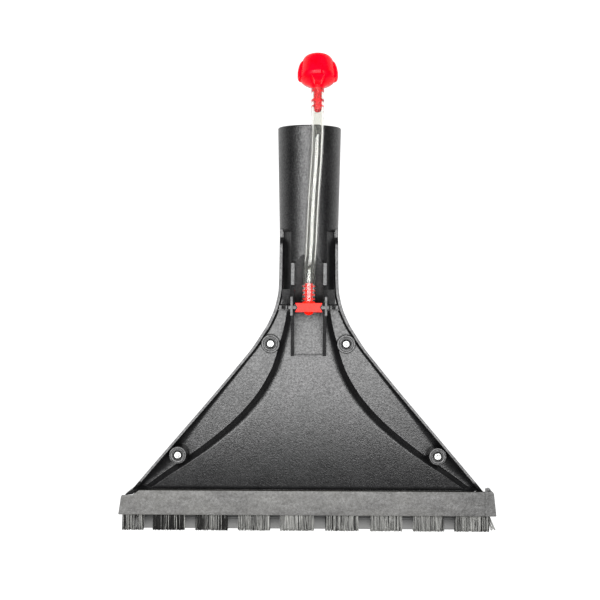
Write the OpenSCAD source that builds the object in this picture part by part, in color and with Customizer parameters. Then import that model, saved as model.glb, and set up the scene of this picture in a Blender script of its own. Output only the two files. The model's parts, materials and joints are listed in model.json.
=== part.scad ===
// Floor wash head of a carpet cleaner, lying on its back.
// Millimetres, +Z up. X runs across the mouth, Y runs from the bristles to the neck mouth.
// The table is z = 0, and the lowest points are the neck's back and the back of the brush bar.

/* [Neck] */
// Outside radius of the neck at its mouth
neck_mouth_r = 22; // [21:0.25:24]
// Outside radius of the neck where the body begins
neck_root_r = 20; // [19.5:0.25:20.5]
// Radius of the socket for the wand tube
wand_bore_r = 17.6; // [16:0.1:18]
// Depth of the socket for the wand tube
wand_bore_depth = 65; // [50:1:75]

/* [Shell] */
// Wall thickness of the front shell on the wings
wing_wall = 3; // [2.5:0.1:3.4]
// Wall thickness of the suction duct
duct_wall = 2.5; // [2:0.1:2.8]
// Level of the rim tops above the table
rim_top = 30; // [28:0.5:33]
// Thickness of the edge rims
rim_t = 2.2; // [1.6:0.1:3]
// Level of the flat part of the duct's front above the table
duct_top = 31; // [30:0.25:32]
// How far the duct's front falls from its flat part to the mouth
duct_fall = 16; // [14:0.5:17]
// How far the wings fall from the neck to the mouth
wing_fall = 17; // [15:0.5:18]
// Radius of the screw posts
post_r = 6.5; // [5.5:0.25:7]

/* [Screws] */
// Radius of the pan heads
screw_head_r = 3.3; // [2.8:0.1:3.8]
// Radius of the screw shanks
screw_shank_r = 1.9; // [1.7:0.05:2]
// Length of the screw shanks
screw_len = 16; // [12:1:17]

/* [Spray jet and hose] */
// Width of the cross bar of the jet
jet_bar_w = 18.7; // [17:0.1:19]
// Outside radius of the solution hose
hose_r = 4.5; // [4:0.1:4.6]
// Radius of the bore of the solution hose
hose_bore_r = 3; // [2.5:0.1:3.1]
// Tilt of the coupling below level, in degrees
coupling_tilt = 20; // [17:0.5:22]

/* [Brush bar] */
// Half width of the rail between the end caps
bar_half = 124.4; // [123:0.1:125]
// Height of the bar from its back to its front face
bar_h = 20; // [19:0.25:22]
// How far the bristles stand out of the bar
bristle_len = 11.3; // [9:0.1:11.3]

/* [Output] */
// Piece to draw

/* [Hidden] */
$fn = 64;
gap = 0.1;
neck_z = 22;
neck_end = 141;
body_top = 50;
mouth_y = -112.4;
lip_y = -121;
bar_y = -129.7;
tip_y = bar_y - bristle_len;
split_y = 12;
duct_back = 2;
lip_half = 113.8;

// Outline of the shell: [y, half width].
outline = [
  [70, 20], [60, 20.3], [28, 20.7], [20, 22.3], [14, 24], [9, 26.1], [3, 29],
  [-2, 32.2], [-8, 36], [-14, 40.2], [-30, 53.2], [mouth_y, 123.2]
];

// Foot of the raised duct: [y, half width].
duct_plan = [
  [14, 15], [0, 17.2], [-8, 19.6], [-17, 21.8], [-26, 25], [-36, 30.2], [-46, 36.7],
  [-55, 44.2], [-64, 53], [-73, 63.4], [-83, 76], [-92, 88.6], [-100, 100],
  [-108, 110.5], [mouth_y, lip_half]
];

// Stations along Y for the curved fronts.
stations = [16, 6, -4, -14, -24, -34, -44, -54, -64, -74, -84, -94, -104, mouth_y];

function wing_z(y) = 26 - (y < 10 ? wing_fall * pow((10 - y) / 120, 2) : 0);
function duct_z(y) = duct_top - (y < -20 ? duct_fall * pow((-20 - y) / 90, 2) : 0);
function rev(l) = [for (i = [len(l) - 1:-1:0]) l[i]];
function both_sides(l, grow) = concat(
  [for (p = l) [p[1] + grow, p[0]]],
  [for (p = rev(l)) [-p[1] - grow, p[0]]]
);
function one_side(l, a, b) = concat(
  [for (p = l) [p[1] + a, p[0]]],
  [for (p = rev(l)) [p[1] + b, p[0]]]
);

// Where the two shells meet, lowered by drop, as [y, z] from the neck to the lip.
function parting(drop) = concat(
  [[body_top + 12, 26 - drop]],
  [for (y = stations) [y, wing_z(y) - drop]],
  [[lip_y - 1, wing_z(mouth_y) - drop]]
);

posts = [[26.3, -9.3], [-26.3, -9.3], [90.3, -87], [-90.3, -87]];
post_top = 29;
head_seat = post_top - 1.7;
inner_post_top = 22;

jet_y = 16.1;
jet_z = 42.5;
fin_x = 11;
fin_t = 2.4;

// Hose centre line from the jet to the coupling's shoulder.
coupling_at = [5.3, 165, 43.4];
hose_start = 20.3;
hose_route = [
  [0, hose_start, jet_z], [0, 26, 42.5], [0, 33, 42.8], [0.3, 41, 44.3], [0.9, 50, 46.6],
  [1.5, 60, 47.9], [2.1, 75, 49.3], [2.9, 92, 51.3], [3.8, 106, 52.7], [4.5, 117, 53.4],
  [4.9, 126, 53.3], [5.2, 134, 52.5], [5.3, 141, 51.2], [5.3, 148, 49.45], [5.3, 155, 47],
  [5.3, 164.8, 43.47]
];
hose_sides = 12;

tuft_edges = [
  [-129.2, -113.8], [-107.5, -85], [-77.8, -55.2], [-48, -25.2], [-18.6, 5.2],
  [12.8, 36.4], [44.4, 67], [74.4, 96], [103.4, 128]
];
tuft_z = [12.6, 18.6];
slot_z = [5.2, 10.8];
blade_z = [2.2, 4];

// ---- shared shapes ----

// A Y-Z profile drawn out along X.
module slab(profile, half) {
  rotate([90, 0, 90])
    translate([0, 0, -half])
      linear_extrude(2 * half)
        polygon(profile);
}

// An X-Y plan drawn up in Z.
module plan(shape, z0, z1) {
  translate([0, 0, z0])
    linear_extrude(z1 - z0)
      polygon(shape);
}

module box(x0, x1, y0, y1, z0, z1) {
  translate([x0, y0, z0])
    cube([x1 - x0, y1 - y0, z1 - z0]);
}

// A cylinder along Y, from y0 to y1, about a point in X-Z.
module along_y(x, z, y0, y1, r0, r1) {
  translate([x, y0, z])
    rotate([-90, 0, 0])
      cylinder(h = y1 - y0, r1 = r0, r2 = r1);
}

module mirrored() {
  children();
  mirror([1, 0, 0])
    children();
}

// Everything in front of the parting line.
module front_side() {
  slab(concat(parting(wing_wall), [[lip_y - 1, 60], [body_top + 12, 60]]), 140);
  box(-40, 40, body_top, neck_end + 1, -1, 60);
}

// Everything behind the parting line.
module back_side() {
  intersection() {
    slab(concat(parting(wing_wall + gap), [[lip_y - 1, -1], [body_top + 12, -1]]), 140);
    box(-140, 140, lip_y - 1, body_top - gap, -1, 60);
  }
}

// The neck's round end blended into the duct's box.
module throat(grow_r, grow) {
  hull() {
    along_y(0, neck_z, body_top, body_top + 2, neck_root_r + grow_r, neck_root_r + grow_r);
    box(-15 - grow, 15 + grow, 18, 20, duct_back - grow, duct_top + grow);
  }
}

// The duct seen from outside: throat, box, flared body and lip.
module duct_outside() {
  throat(0, 0);
  box(-15, 15, split_y, 20, duct_back, duct_top);
  intersection() {
    plan(both_sides(duct_plan, 0), duct_back, 60);
    slab(concat([for (y = stations) [y, duct_z(y)]], [[mouth_y, 0], [stations[0], 0]]), 140);
  }
  box(-lip_half, lip_half, lip_y, mouth_y + 0.01, duct_back, 13.6);
}

// The air's way from the neck to the mouth.
module duct_inside() {
  throat(-2.4 - duct_wall, -duct_wall);
  box(-15 + duct_wall, 15 - duct_wall, split_y - 1, 20, duct_back + duct_wall, duct_top - duct_wall);
  intersection() {
    plan(both_sides(duct_plan, -3.5), duct_back + duct_wall, 60);
    slab(concat([for (y = stations) [y, duct_z(y) - duct_wall]], [[mouth_y, 0], [stations[0], 0]]), 140);
  }
  box(-lip_half + 3, lip_half - 3, lip_y - 1, mouth_y + 2, duct_back + duct_wall, 11);
}

// ---- head ----

module neck_bore() {
  along_y(0, neck_z, neck_end - wand_bore_depth, neck_end + 1, wand_bore_r, wand_bore_r);
  along_y(0, neck_z, body_top, neck_end, wand_bore_r - 2.5, wand_bore_r - 2.5);
}

module rims() {
  profile = concat(
    [[-115.3, 10], [mouth_y + 0.2, 16.8], [-106, rim_top], [60, rim_top], [70, neck_z]],
    [for (y = concat([58], stations)) [y, wing_z(y) - wing_wall]],
    [[-115.3, wing_z(mouth_y) - wing_wall]]
  );
  ends = concat(outline, [[-115.3, 125.5]]);
  intersection() {
    slab(profile, 140);
    mirrored()
      plan(one_side(ends, 0, -rim_t - 0.6), 0, 60);
  }
}

module wings() {
  intersection() {
    plan(both_sides([for (p = outline) if (p[0] < 61) p], 0), 0, 60);
    slab(
      concat(
        [[60, 26]],
        [for (y = stations) [y, wing_z(y)]],
        rev([for (y = stations) [y, wing_z(y) - wing_wall]]),
        [[60, 26 - wing_wall]]
      ),
      140
    );
  }
}

// One fin beside the jet, with its stepped top and its sloping lower end.
module fin() {
  side = [
    [-17.5, 28], [-17.5, 32.5], [5.8, 45], [9.8, 46], [23, 46], [30.4, 43.5],
    [46.6, 43.5], [47.6, 41], [47.6, 28]
  ];
  translate([fin_x, 0, 0])
    slab(side, fin_t / 2);
}

// The pin that enters the notch in the end of the jet's cross bar.
module holder_pin() {
  nose = [
    [8.2, jet_y - 0.5], [9.5, jet_y - 1.1], [13.5, jet_y - 1.1],
    [13.5, jet_y + 1.1], [9.5, jet_y + 1.1], [8.2, jet_y + 0.5]
  ];
  plan(nose, 31, 46);
  box(fin_x, 21.5, jet_y - 1.3, jet_y + 1.3, 24, 32);
}

// The wall under the cross bar, with a round seat for the jet's barrel.
module jet_cradle() {
  difference() {
    box(-10, 10, jet_y - 2.2, jet_y + 2.2, 29.5, 39.9);
    along_y(0, jet_z, jet_y - 4, jet_y + 4, 4.9, 4.9);
    box(-4.9, 4.9, jet_y - 4, jet_y + 4, jet_z, 60);
  }
}

// A screw post on the wing. A taller post has more draft.
module post(p) {
  tall = post_top - wing_z(p[1]);
  translate([p[0], p[1], wing_z(p[1]) - wing_wall])
    cylinder(h = tall + wing_wall, r1 = post_r + 0.065 * tall, r2 = post_r - 0.04 * tall);
}

// The wings run on past the mouth at the two corners.
module corner_ends() {
  shape = [
    [117.9, mouth_y + 0.5], [122.9, mouth_y + 0.5], [125.4, -115.3], [122.1, -115.3]
  ];
  mirrored()
    plan(shape, wing_z(mouth_y) - wing_wall, wing_z(mouth_y));
}

module front_shell() {
  color([0.09, 0.09, 0.1])
    difference() {
      union() {
        intersection() {
          union() {
            along_y(0, neck_z, body_top, neck_end, neck_root_r, neck_mouth_r);
            duct_outside();
            wings();
            for (p = posts)
              post(p);
            corner_ends();
          }
          front_side();
        }
        rims();
        mirrored() {
          fin();
          holder_pin();
        }
        jet_cradle();
      }
      neck_bore();
      duct_inside();
      for (p = posts)
        translate([p[0], p[1], 0]) {
          cylinder(h = 60, r = screw_shank_r + 0.3);
          translate([0, 0, head_seat])
            cylinder(h = 10, r = screw_head_r + 0.4);
          translate([0, 0, post_top - 0.5])
            cylinder(h = 10, r = 4.4);
          cylinder(h = inner_post_top + 0.3, r = 3.4);
        }
    }
}

module rear_shell() {
  flange = [for (p = outline) if (p[0] < 21) p];
  color([0.08, 0.08, 0.09])
    difference() {
      union() {
        intersection() {
          duct_outside();
          back_side();
        }
        intersection() {
          plan(both_sides(flange, -3.2), 0, 60);
          slab(concat(
            [for (y = stations) [y, wing_z(y) - wing_wall - gap]],
            rev([for (y = stations) [y, wing_z(y) - wing_wall - gap - 2.4]])
          ), 140);
        }
        for (p = posts)
          translate([p[0], p[1], p[1] > -40 ? 8 : 3])
            cylinder(h = inner_post_top - (p[1] > -40 ? 8 : 3), r = 3.2);
      }
      duct_inside();
      mirrored()
        seal_track(0.6, 2.8, 1.5, -1);
      for (p = posts)
        translate([p[0], p[1], p[1] > -40 ? 10 : 5])
          cylinder(h = 30, r = screw_shank_r - 0.3);
    }
}

// The strip beside the duct where the seal lies: a and b are its distances from the duct.
module seal_track(a, b, deep, over) {
  line = [for (p = duct_plan) if (p[0] < 13 && p[0] > -109) p];
  intersection() {
    plan(one_side(line, a, b), 0, 60);
    slab(concat(
      [for (y = stations) [y, wing_z(y) - wing_wall - gap - over]],
      rev([for (y = stations) [y, wing_z(y) - wing_wall - gap - deep]])
    ), 140);
  }
}

module duct_seal_right() {
  color([0.03, 0.03, 0.03])
    seal_track(0.7, 2.7, 1.45, -0.05);
}

module duct_seal_left() {
  color([0.03, 0.03, 0.03])
    mirror([1, 0, 0])
      seal_track(0.7, 2.7, 1.45, -0.05);
}

module shell_screws() {
  color([0.8, 0.8, 0.82])
    for (p = posts)
      translate([p[0], p[1], head_seat]) {
        difference() {
          union() {
            cylinder(h = 1.3, r = screw_head_r);
            translate([0, 0, 1.29])
              cylinder(h = 1, r1 = screw_head_r, r2 = screw_head_r - 1);
          }
          for (a = [0, 60, 120])
            rotate([0, 0, a])
              box(-1.7, 1.7, -0.45, 0.45, 1, 4);
        }
        translate([0, 0, -screw_len])
          cylinder(h = screw_len + 0.01, r = screw_shank_r);
      }
}

// ---- water line ----

// A hose barb along +Z, its root at z = 0 and its ridges sloping to the tip.
module barb(long, root_r) {
  cylinder(h = long, r = 2.5);
  cylinder(h = 4, r1 = root_r, r2 = 2.9);
  for (z = [4.5, 8.5])
    translate([0, 0, z])
      cylinder(h = 2.6, r1 = hose_bore_r + 0.25, r2 = 2.5);
}

module spray_jet() {
  h = jet_bar_w / 2;
  bar = [
    [h, jet_y + 3.1], [h - 1.9, jet_y], [h, jet_y - 3.1],
    [-h, jet_y - 3.1], [-h + 1.9, jet_y], [-h, jet_y + 3.1]
  ];
  color([0.9, 0.03, 0.06])
    difference() {
      union() {
        plan(bar, 40, 46.5);
        along_y(0, jet_z, jet_y - 3.1, hose_start - 0.1, 4.4, 4.4);
        translate([0, hose_start - 0.1, jet_z])
          rotate([-90, 0, 0])
            barb(12.4, hose_bore_r - 0.05);
      }
      along_y(0, jet_z, jet_y - 4, hose_start + 13, 1.4, 1.4);
      along_y(0, jet_z, jet_y - 4, jet_y + 0.5, 1.9, 1.9);
    }
}

module jet_tip() {
  face = jet_y - 3.15;
  color([0.85, 0.03, 0.06])
    difference() {
      union() {
        intersection() {
          translate([0, face + 1.5, jet_z])
            sphere(r = 3.7);
          box(-5, 5, face - 5, face, jet_z - 5, jet_z + 5);
        }
        along_y(0, jet_z, face - 0.01, face + 3.3, 1.85, 1.85);
      }
      along_y(0, jet_z, face - 1.2, face + 4, 1, 1);
      box(-3.4, 3.4, face - 4, face - 0.9, jet_z - 0.3, jet_z + 0.3);
    }
}

function unit(v) = v / norm(v);
function tangent(l, i) = unit(l[min(i + 1, len(l) - 1)] - l[max(i - 1, 0)]);
function side_dir(t) = unit(cross([0, 0, 1], t));
function curve_point(l, i, t) =
  let (
    a = l[max(i - 1, 0)], b = l[i],
    c = l[min(i + 1, len(l) - 1)], d = l[min(i + 2, len(l) - 1)]
  )
  0.5 * (2 * b + (c - a) * t + (2 * a - 5 * b + 4 * c - d) * t * t
         + (3 * b - a - 3 * c + d) * t * t * t);
function fine_route(l, n) = concat(
  [for (i = [0:len(l) - 2]) for (k = [0:n - 1]) curve_point(l, i, k / n)],
  [l[len(l) - 1]]
);

// A round tube with a bore, swept along a line of points.
module tube(line, r_out, r_in, n) {
  m = len(line);
  rings = [
    for (r = [r_out, r_in])
      for (i = [0:m - 1])
        let (t = tangent(line, i), s = side_dir(t), u = cross(t, s))
          for (k = [0:n - 1]) line[i] + r * (s * cos(k * 360 / n) + u * sin(k * 360 / n))
  ];
  o = m * n;
  outer = [for (i = [0:m - 2]) for (k = [0:n - 1])
    [i * n + k, i * n + (k + 1) % n, (i + 1) * n + (k + 1) % n, (i + 1) * n + k]];
  inner = [for (q = outer) [for (v = rev(q)) v + o]];
  start = [for (k = [0:n - 1]) [k, k + o, (k + 1) % n + o, (k + 1) % n]];
  e = (m - 1) * n;
  finish = [for (k = [0:n - 1]) [e + (k + 1) % n, e + (k + 1) % n + o, e + k + o, e + k]];
  polyhedron(points = rings, faces = concat(outer, inner, start, finish), convexity = 6);
}

module solution_hose() {
  color([0.85, 0.88, 0.88, 0.5])
    tube(fine_route(hose_route, 2), hose_r, hose_bore_r, hose_sides);
}

// The coupling's own frame: +Z runs from its shoulder to its open end.
module at_coupling() {
  translate(coupling_at)
    rotate([-90 - coupling_tilt, 0, 0])
      children();
}

drum = [
  [0, 0], [4.4, 0], [5, 1.5], [11.4, 4], [12.3, 5.5], [12.3, 10],
  [11.9, 15.5], [11, 20.3], [10.2, 22.5], [9, 24], [0, 24]
];

module coupling_body() {
  color([0.9, 0.03, 0.06])
    at_coupling()
      difference() {
        union() {
          rotate_extrude()
            polygon(drum);
          mirror([0, 0, 1])
            barb(16.5, hose_bore_r - 0.05);
        }
        translate([0, 0, 8])
          cylinder(h = 20, r = 6);
        translate([0, 0, -20])
          cylinder(h = 40, r = 1.5);
        translate([0, 0, 10])
          cylinder(h = 2.6, r = 7.4);
        mirrored()
          box(9.3, 20, -4.3, 4.3, 4.2, 17.2);
      }
}

module coupling_seal_ring() {
  color([0.03, 0.03, 0.03])
    at_coupling()
      translate([0, 0, 11.3])
        rotate_extrude()
          translate([6.1, 0])
            circle(r = 1.2);
}

// One release ear: it leans in towards the open end and its edges are rounded off.
module release_ear() {
  across = [[10.6, -4], [13.2, -4], [13.9, -2.6], [13.9, 2.6], [13.2, 4], [10.6, 4]];
  along = [[10.6, 4.6], [13.3, 4.6], [13.9, 5.6], [13.9, 9.5], [13.3, 13], [12, 16.8], [10.6, 16.8]];
  intersection() {
    plan(across, 4, 18);
    translate([0, 5, 0])
      rotate([90, 0, 0])
        linear_extrude(10)
          polygon(along);
  }
}

module release_tab_right() {
  color([0.85, 0.03, 0.06])
    at_coupling()
      release_ear();
}

module release_tab_left() {
  color([0.85, 0.03, 0.06])
    at_coupling()
      mirror([1, 0, 0])
        release_ear();
}

// ---- brush bar ----

module tuft_block(i, grow) {
  box(tuft_edges[i][0] - grow, tuft_edges[i][1] + grow, tip_y, bar_y + 5,
      tuft_z[0] - grow, tuft_z[1] + grow);
}

// What the rail and its end caps are both cut by.
module bar_cuts() {
  for (i = [0:8])
    tuft_block(i, 0.05);
  box(-120.05, 120.05, tip_y, bar_y + 3.6, blade_z[0] - 0.05, blade_z[1] + 0.05);
  plan([[-140, -115.9], [-122.5, -115.9], [-117.5, mouth_y], [-117.5, -100], [-140, -100]], -1, 60);
  box(117, 127, -116, -100, -1, 17.2);
}

module bar_rail() {
  color([0.42, 0.41, 0.4])
    difference() {
      box(-bar_half, bar_half, bar_y, mouth_y - gap, 0, bar_h);
      box(-lip_half - 0.4, lip_half + 0.4, lip_y - 0.4, 0, duct_back - 0.3, 14);
      box(-112, 112, bar_y - 1, 0, slot_z[0], slot_z[1]);
      bar_cuts();
    }
}

function cap_plan(top) = [
  [bar_half + gap, bar_y], [132.4, bar_y], [130.6, top - 1], [129.8, top], [bar_half + gap, top]
];

module bar_end_right() {
  color([0.42, 0.41, 0.4])
    difference() {
      plan(cap_plan(mouth_y - gap), 0, bar_h);
      bar_cuts();
      box(126.9, 129.1, -121.1, -100, 5.9, 14.1);
    }
}

module bar_end_left() {
  color([0.42, 0.41, 0.4])
    difference() {
      mirror([1, 0, 0])
        plan(cap_plan(-115.9), 0, bar_h);
      bar_cuts();
      box(-129.1, -126.9, -121.1, -100, 5.9, 14.1);
    }
}

module bar_clips() {
  color([0.1, 0.1, 0.1]) {
    box(127, 129, -121, -111.2, 6, 14);
    box(-129, -127, -121, -116, 6, 14);
  }
}

module squeegee_blade() {
  color([0.75, 0.75, 0.75])
    box(-120, 120, tip_y + 0.1, bar_y + 3.6, blade_z[0], blade_z[1]);
}

module tuft(i) {
  color([0.3, 0.3, 0.3])
    tuft_block(i - 1, 0);
}

front_shell();
rear_shell();
duct_seal_left();
duct_seal_right();
shell_screws();
spray_jet();
jet_tip();
solution_hose();
coupling_body();
coupling_seal_ring();
release_tab_left();
release_tab_right();
bar_rail();
bar_end_left();
bar_end_right();
bar_clips();
squeegee_blade();
tuft(1);  // tuft_1
tuft(2);  // tuft_2
tuft(3);  // tuft_3
tuft(4);  // tuft_4
tuft(5);  // tuft_5
tuft(6);  // tuft_6
tuft(7);  // tuft_7
tuft(8);  // tuft_8
tuft(9);  // tuft_9
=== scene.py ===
# %% [markdown]
# # The floor wash head of a carpet cleaner
#
# The real thing is a flared black moulding that slides on the end of a wand. A clear hose brings
# water to a red jet in the middle, the jet wets the carpet, and the dirty water is drawn up through
# a flat duct behind a row of bristles. Here it lies on its back on a white light table.
#
# Each step below makes one piece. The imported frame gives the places, so every piece is built where
# it belongs and then rides on one of the frame's bodies.

# %% Load the frame
import json
import math
import random

import bmesh
import bpy
from mathutils import Matrix, Vector


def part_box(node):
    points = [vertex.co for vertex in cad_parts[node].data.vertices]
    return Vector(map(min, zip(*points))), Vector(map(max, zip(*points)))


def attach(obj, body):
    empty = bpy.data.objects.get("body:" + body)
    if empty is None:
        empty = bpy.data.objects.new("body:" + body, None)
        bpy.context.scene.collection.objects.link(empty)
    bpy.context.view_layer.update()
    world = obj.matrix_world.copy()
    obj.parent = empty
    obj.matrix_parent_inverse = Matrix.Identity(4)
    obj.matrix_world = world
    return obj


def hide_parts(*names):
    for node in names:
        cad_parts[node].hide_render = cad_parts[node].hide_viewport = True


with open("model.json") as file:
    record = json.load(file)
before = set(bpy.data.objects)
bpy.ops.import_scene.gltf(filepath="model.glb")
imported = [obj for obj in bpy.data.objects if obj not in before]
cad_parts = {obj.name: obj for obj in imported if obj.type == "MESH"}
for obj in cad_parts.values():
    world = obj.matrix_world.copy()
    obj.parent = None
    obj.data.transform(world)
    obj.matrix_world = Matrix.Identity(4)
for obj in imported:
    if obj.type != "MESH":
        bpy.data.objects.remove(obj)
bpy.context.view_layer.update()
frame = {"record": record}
MM = 0.001


def place_of(node):
    """A node's lowest and highest corners, in millimetres."""
    low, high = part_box(node)
    return [c * 1000 for c in low], [c * 1000 for c in high]


NECK_END = place_of("front_shell")[1][1]
NECK_Z = 22.0  # the neck's middle line, above the table
rail_low, rail_high = place_of("bar_rail")
BAR_TOP_Y, BAR_LOW_Y, BAR_FRONT = rail_high[1], rail_low[1], rail_high[2]
MOUTH_Y = BAR_TOP_Y + 0.1  # the shells end a little above the bar's upper edge
print("neck ends at", round(NECK_END, 1), "mm, bar front at", round(BAR_FRONT, 1), "mm")

# %% [markdown]
# ## Camera
#
# The head is looked at from straight above, from about a metre away. A long lens of 84 mm on a
# 36 mm sensor keeps the neck and the mouth in their true proportion. The camera is turned by a
# third of a degree, because nobody lays a tool down perfectly square.

# %% Camera
LENS_MM, SENSOR_MM = 84.0, 36.0
CAMERA_PLACE = (-0.0060, 0.0212, 1.0)
CAMERA_TURN_DEG = 0.33
camera_data = bpy.data.cameras.new("camera")
camera_data.lens = LENS_MM
camera_data.sensor_width = SENSOR_MM
camera_data.clip_start, camera_data.clip_end = 0.05, 10.0
camera = bpy.data.objects.new("camera", camera_data)
camera.location = CAMERA_PLACE
camera.rotation_euler = (0.0, 0.0, math.radians(CAMERA_TURN_DEG))
bpy.context.scene.collection.objects.link(camera)
bpy.context.scene.camera = camera
print("camera", CAMERA_PLACE[2], "m above the table, with a lens of", LENS_MM, "mm")

# %% [markdown]
# ## Tools for making meshes
#
# Most pieces are moulded, so three small tools cover nearly all of them. A prism is a flat outline
# drawn out along an axis, a lathe turns a profile round an axis, and a loft joins a row of
# equal-sided sections. All sizes are given in millimetres, as on a drawing.


# %% Mesh tools
def new_piece(name, points, faces, sharp=32.0):
    """A mesh object from points in millimetres, smooth except across sharp edges."""
    mesh = bpy.data.meshes.new(name)
    mesh.from_pydata([tuple(c * MM for c in p) for p in points], [], faces)
    piece = bpy.data.objects.new(name, mesh)
    bpy.context.scene.collection.objects.link(piece)
    clean_up(piece, sharp)
    return piece


def clean_up(piece, sharp=32.0):
    """Joins doubled points, turns the faces outwards and marks the sharp edges."""
    work = bmesh.new()
    work.from_mesh(piece.data)
    bmesh.ops.remove_doubles(work, verts=work.verts, dist=1e-7)
    bmesh.ops.dissolve_degenerate(work, edges=work.edges, dist=1e-7)
    bmesh.ops.recalc_face_normals(work, faces=work.faces)
    for face in work.faces:
        face.smooth = True
    work.to_mesh(piece.data)
    work.free()
    piece.data.set_sharp_from_angle(angle=math.radians(sharp))


def round_edges(piece, width, segments=2, above=40.0, sharp=32.0):
    """Rounds every edge that turns by more than an angle, as a mould does."""
    work = bmesh.new()
    work.from_mesh(piece.data)
    edges = [e for e in work.edges
             if len(e.link_faces) == 2 and math.degrees(e.calc_face_angle(0.0)) > above]
    bmesh.ops.bevel(work, geom=edges, offset=width * MM, segments=segments, profile=0.6,
                    affect="EDGES", clamp_overlap=True)
    work.to_mesh(piece.data)
    work.free()
    clean_up(piece, sharp)
    return piece


def loft(name, sections, sharp=32.0, ends=True):
    """Joins closed sections, each with the same number of points, into one closed skin."""
    count = len(sections[0])
    points = [p for section in sections for p in section]
    faces = []
    for i in range(len(sections) - 1):
        for k in range(count):
            j = (k + 1) % count
            faces.append((i * count + k, i * count + j, (i + 1) * count + j, (i + 1) * count + k))
    if ends:
        faces.append(tuple(range(count)))
        faces.append(tuple(reversed(range((len(sections) - 1) * count, len(sections) * count))))
    return new_piece(name, points, faces, sharp)


def prism(name, outline, low, high, axis="z", rounding=0.0, sharp=32.0):
    """A flat outline drawn out from low to high along an axis."""
    def put(a, b, c):
        return {"z": (a, b, c), "y": (a, c, b), "x": (c, a, b)}[axis]
    piece = loft(name, [[put(a, b, c) for a, b in outline] for c in (low, high)], sharp)
    if rounding:
        round_edges(piece, rounding, sharp=sharp)
    return piece


def box_piece(name, x, y, z, rounding=0.0):
    """A box between the two values given for each axis, with rounded edges."""
    return prism(name, [(x[0], y[0]), (x[1], y[0]), (x[1], y[1]), (x[0], y[1])],
                 z[0], z[1], "z", rounding)


def on_side(side, near, far):
    """The span from near to far on the right (side 1), or its mirror image on the left (-1)."""
    return (near, far) if side > 0 else (-far, -near)


def turn(radius, count, along, wave=0.0, lobes=6):
    """One ring of a turned piece, round or with lobes."""
    ring = []
    for k in range(count):
        a = 2 * math.pi * k / count
        r = radius + wave * math.cos(lobes * a)
        ring.append((r * math.cos(a), r * math.sin(a), along))
    return ring


TINY = 1e-4  # a ring of this radius closes a turned piece to a point


def lathe(name, profile, matrix, count=48, sharp=32.0):
    """Turns a profile of (along, radius) pairs round an axis that the matrix places."""
    rings = [turn(max(r, TINY), count, z) for z, r in profile]
    rings = [[tuple(matrix @ Vector(p)) for p in ring] for ring in rings]
    return loft(name, rings, sharp)


def axis_at(origin, direction):
    """Places a turned piece: its +Z goes along the direction."""
    turned = Vector(direction).to_track_quat("Z", "Y").to_matrix().to_4x4()
    return Matrix.Translation(Vector(origin)) @ turned


def smooth_curve(table):
    """A smooth function through (x, y) pairs, without overshoot."""
    table = sorted(table)
    xs, ys = [p[0] for p in table], [p[1] for p in table]
    slopes = [(ys[i + 1] - ys[i]) / (xs[i + 1] - xs[i]) for i in range(len(xs) - 1)]
    lean = [slopes[0]]
    for i in range(1, len(slopes)):
        a, b = slopes[i - 1], slopes[i]
        lean.append(0.0 if a * b <= 0 else 2 * a * b / (a + b))
    lean.append(slopes[-1])

    def value(x):
        x = min(max(x, xs[0]), xs[-1])
        i = max(k for k in range(len(xs) - 1) if xs[k] <= x)
        h = xs[i + 1] - xs[i]
        t = (x - xs[i]) / h
        return ((2 * t**3 - 3 * t**2 + 1) * ys[i] + (t**3 - 2 * t**2 + t) * h * lean[i]
                + (3 * t**2 - 2 * t**3) * ys[i + 1] + (t**3 - t**2) * h * lean[i + 1])
    return value


print("mesh tools ready")

# %% [markdown]
# Holes and joined-on ribs are cut and joined with Blender's boolean modifier. Its manifold solver
# is fast, and it leaves one clean closed skin. The result is applied at once, so that no
# construction shapes stay in the scene.


# %% Joining and cutting
def combine(piece, others, operation, sharp=32.0):
    """Joins (UNION) or cuts (DIFFERENCE) the piece with each of the others, which go away."""
    for other in others:
        step = piece.modifiers.new("step", "BOOLEAN")
        step.solver = "MANIFOLD"
        step.operation = operation
        step.object = other
    bpy.context.view_layer.update()
    seen = piece.evaluated_get(bpy.context.evaluated_depsgraph_get())
    result = bpy.data.meshes.new_from_object(seen)
    piece.modifiers.clear()
    piece.data = result
    for other in others:
        bpy.data.objects.remove(other, do_unlink=True)
    clean_up(piece, sharp)
    return piece


def join_all(piece, others, sharp=32.0):
    return combine(piece, others, "UNION", sharp)


def cut_away(piece, others, sharp=32.0):
    return combine(piece, others, "DIFFERENCE", sharp)


def flatten_large_faces(piece):
    """Lets the large faces lead the shading, so that flat stays flat beside a rounded edge."""
    weighted = piece.modifiers.new("weighted", "WEIGHTED_NORMAL")
    weighted.keep_sharp = True
    weighted.weight = 80
    bpy.context.view_layer.update()
    seen = piece.evaluated_get(bpy.context.evaluated_depsgraph_get())
    shaded = bpy.data.meshes.new_from_object(seen)
    piece.modifiers.clear()
    piece.data = shaded


def finish_piece(piece, body, material, slot_name, *nodes):
    """Gives a piece its material, its body and the CAD nodes that it stands for."""
    flatten_large_faces(piece)
    piece.data.materials.clear()
    piece.data.materials.append(material)
    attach(piece, body)
    if nodes:
        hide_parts(*nodes)
    print(piece.name, len(piece.data.polygons), "faces, rides on", body)
    return piece


# %% [markdown]
# ## Finishes
#
# A node material is built from a handful of noise textures in object space, so the grain stays on
# the piece from every side. The helper below starts one with a Principled shader, and each finish
# then says what its plastic really does: how fine the spark-eroded grain is, where hands and
# carpets have polished it, and how the colour wanders.


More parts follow.
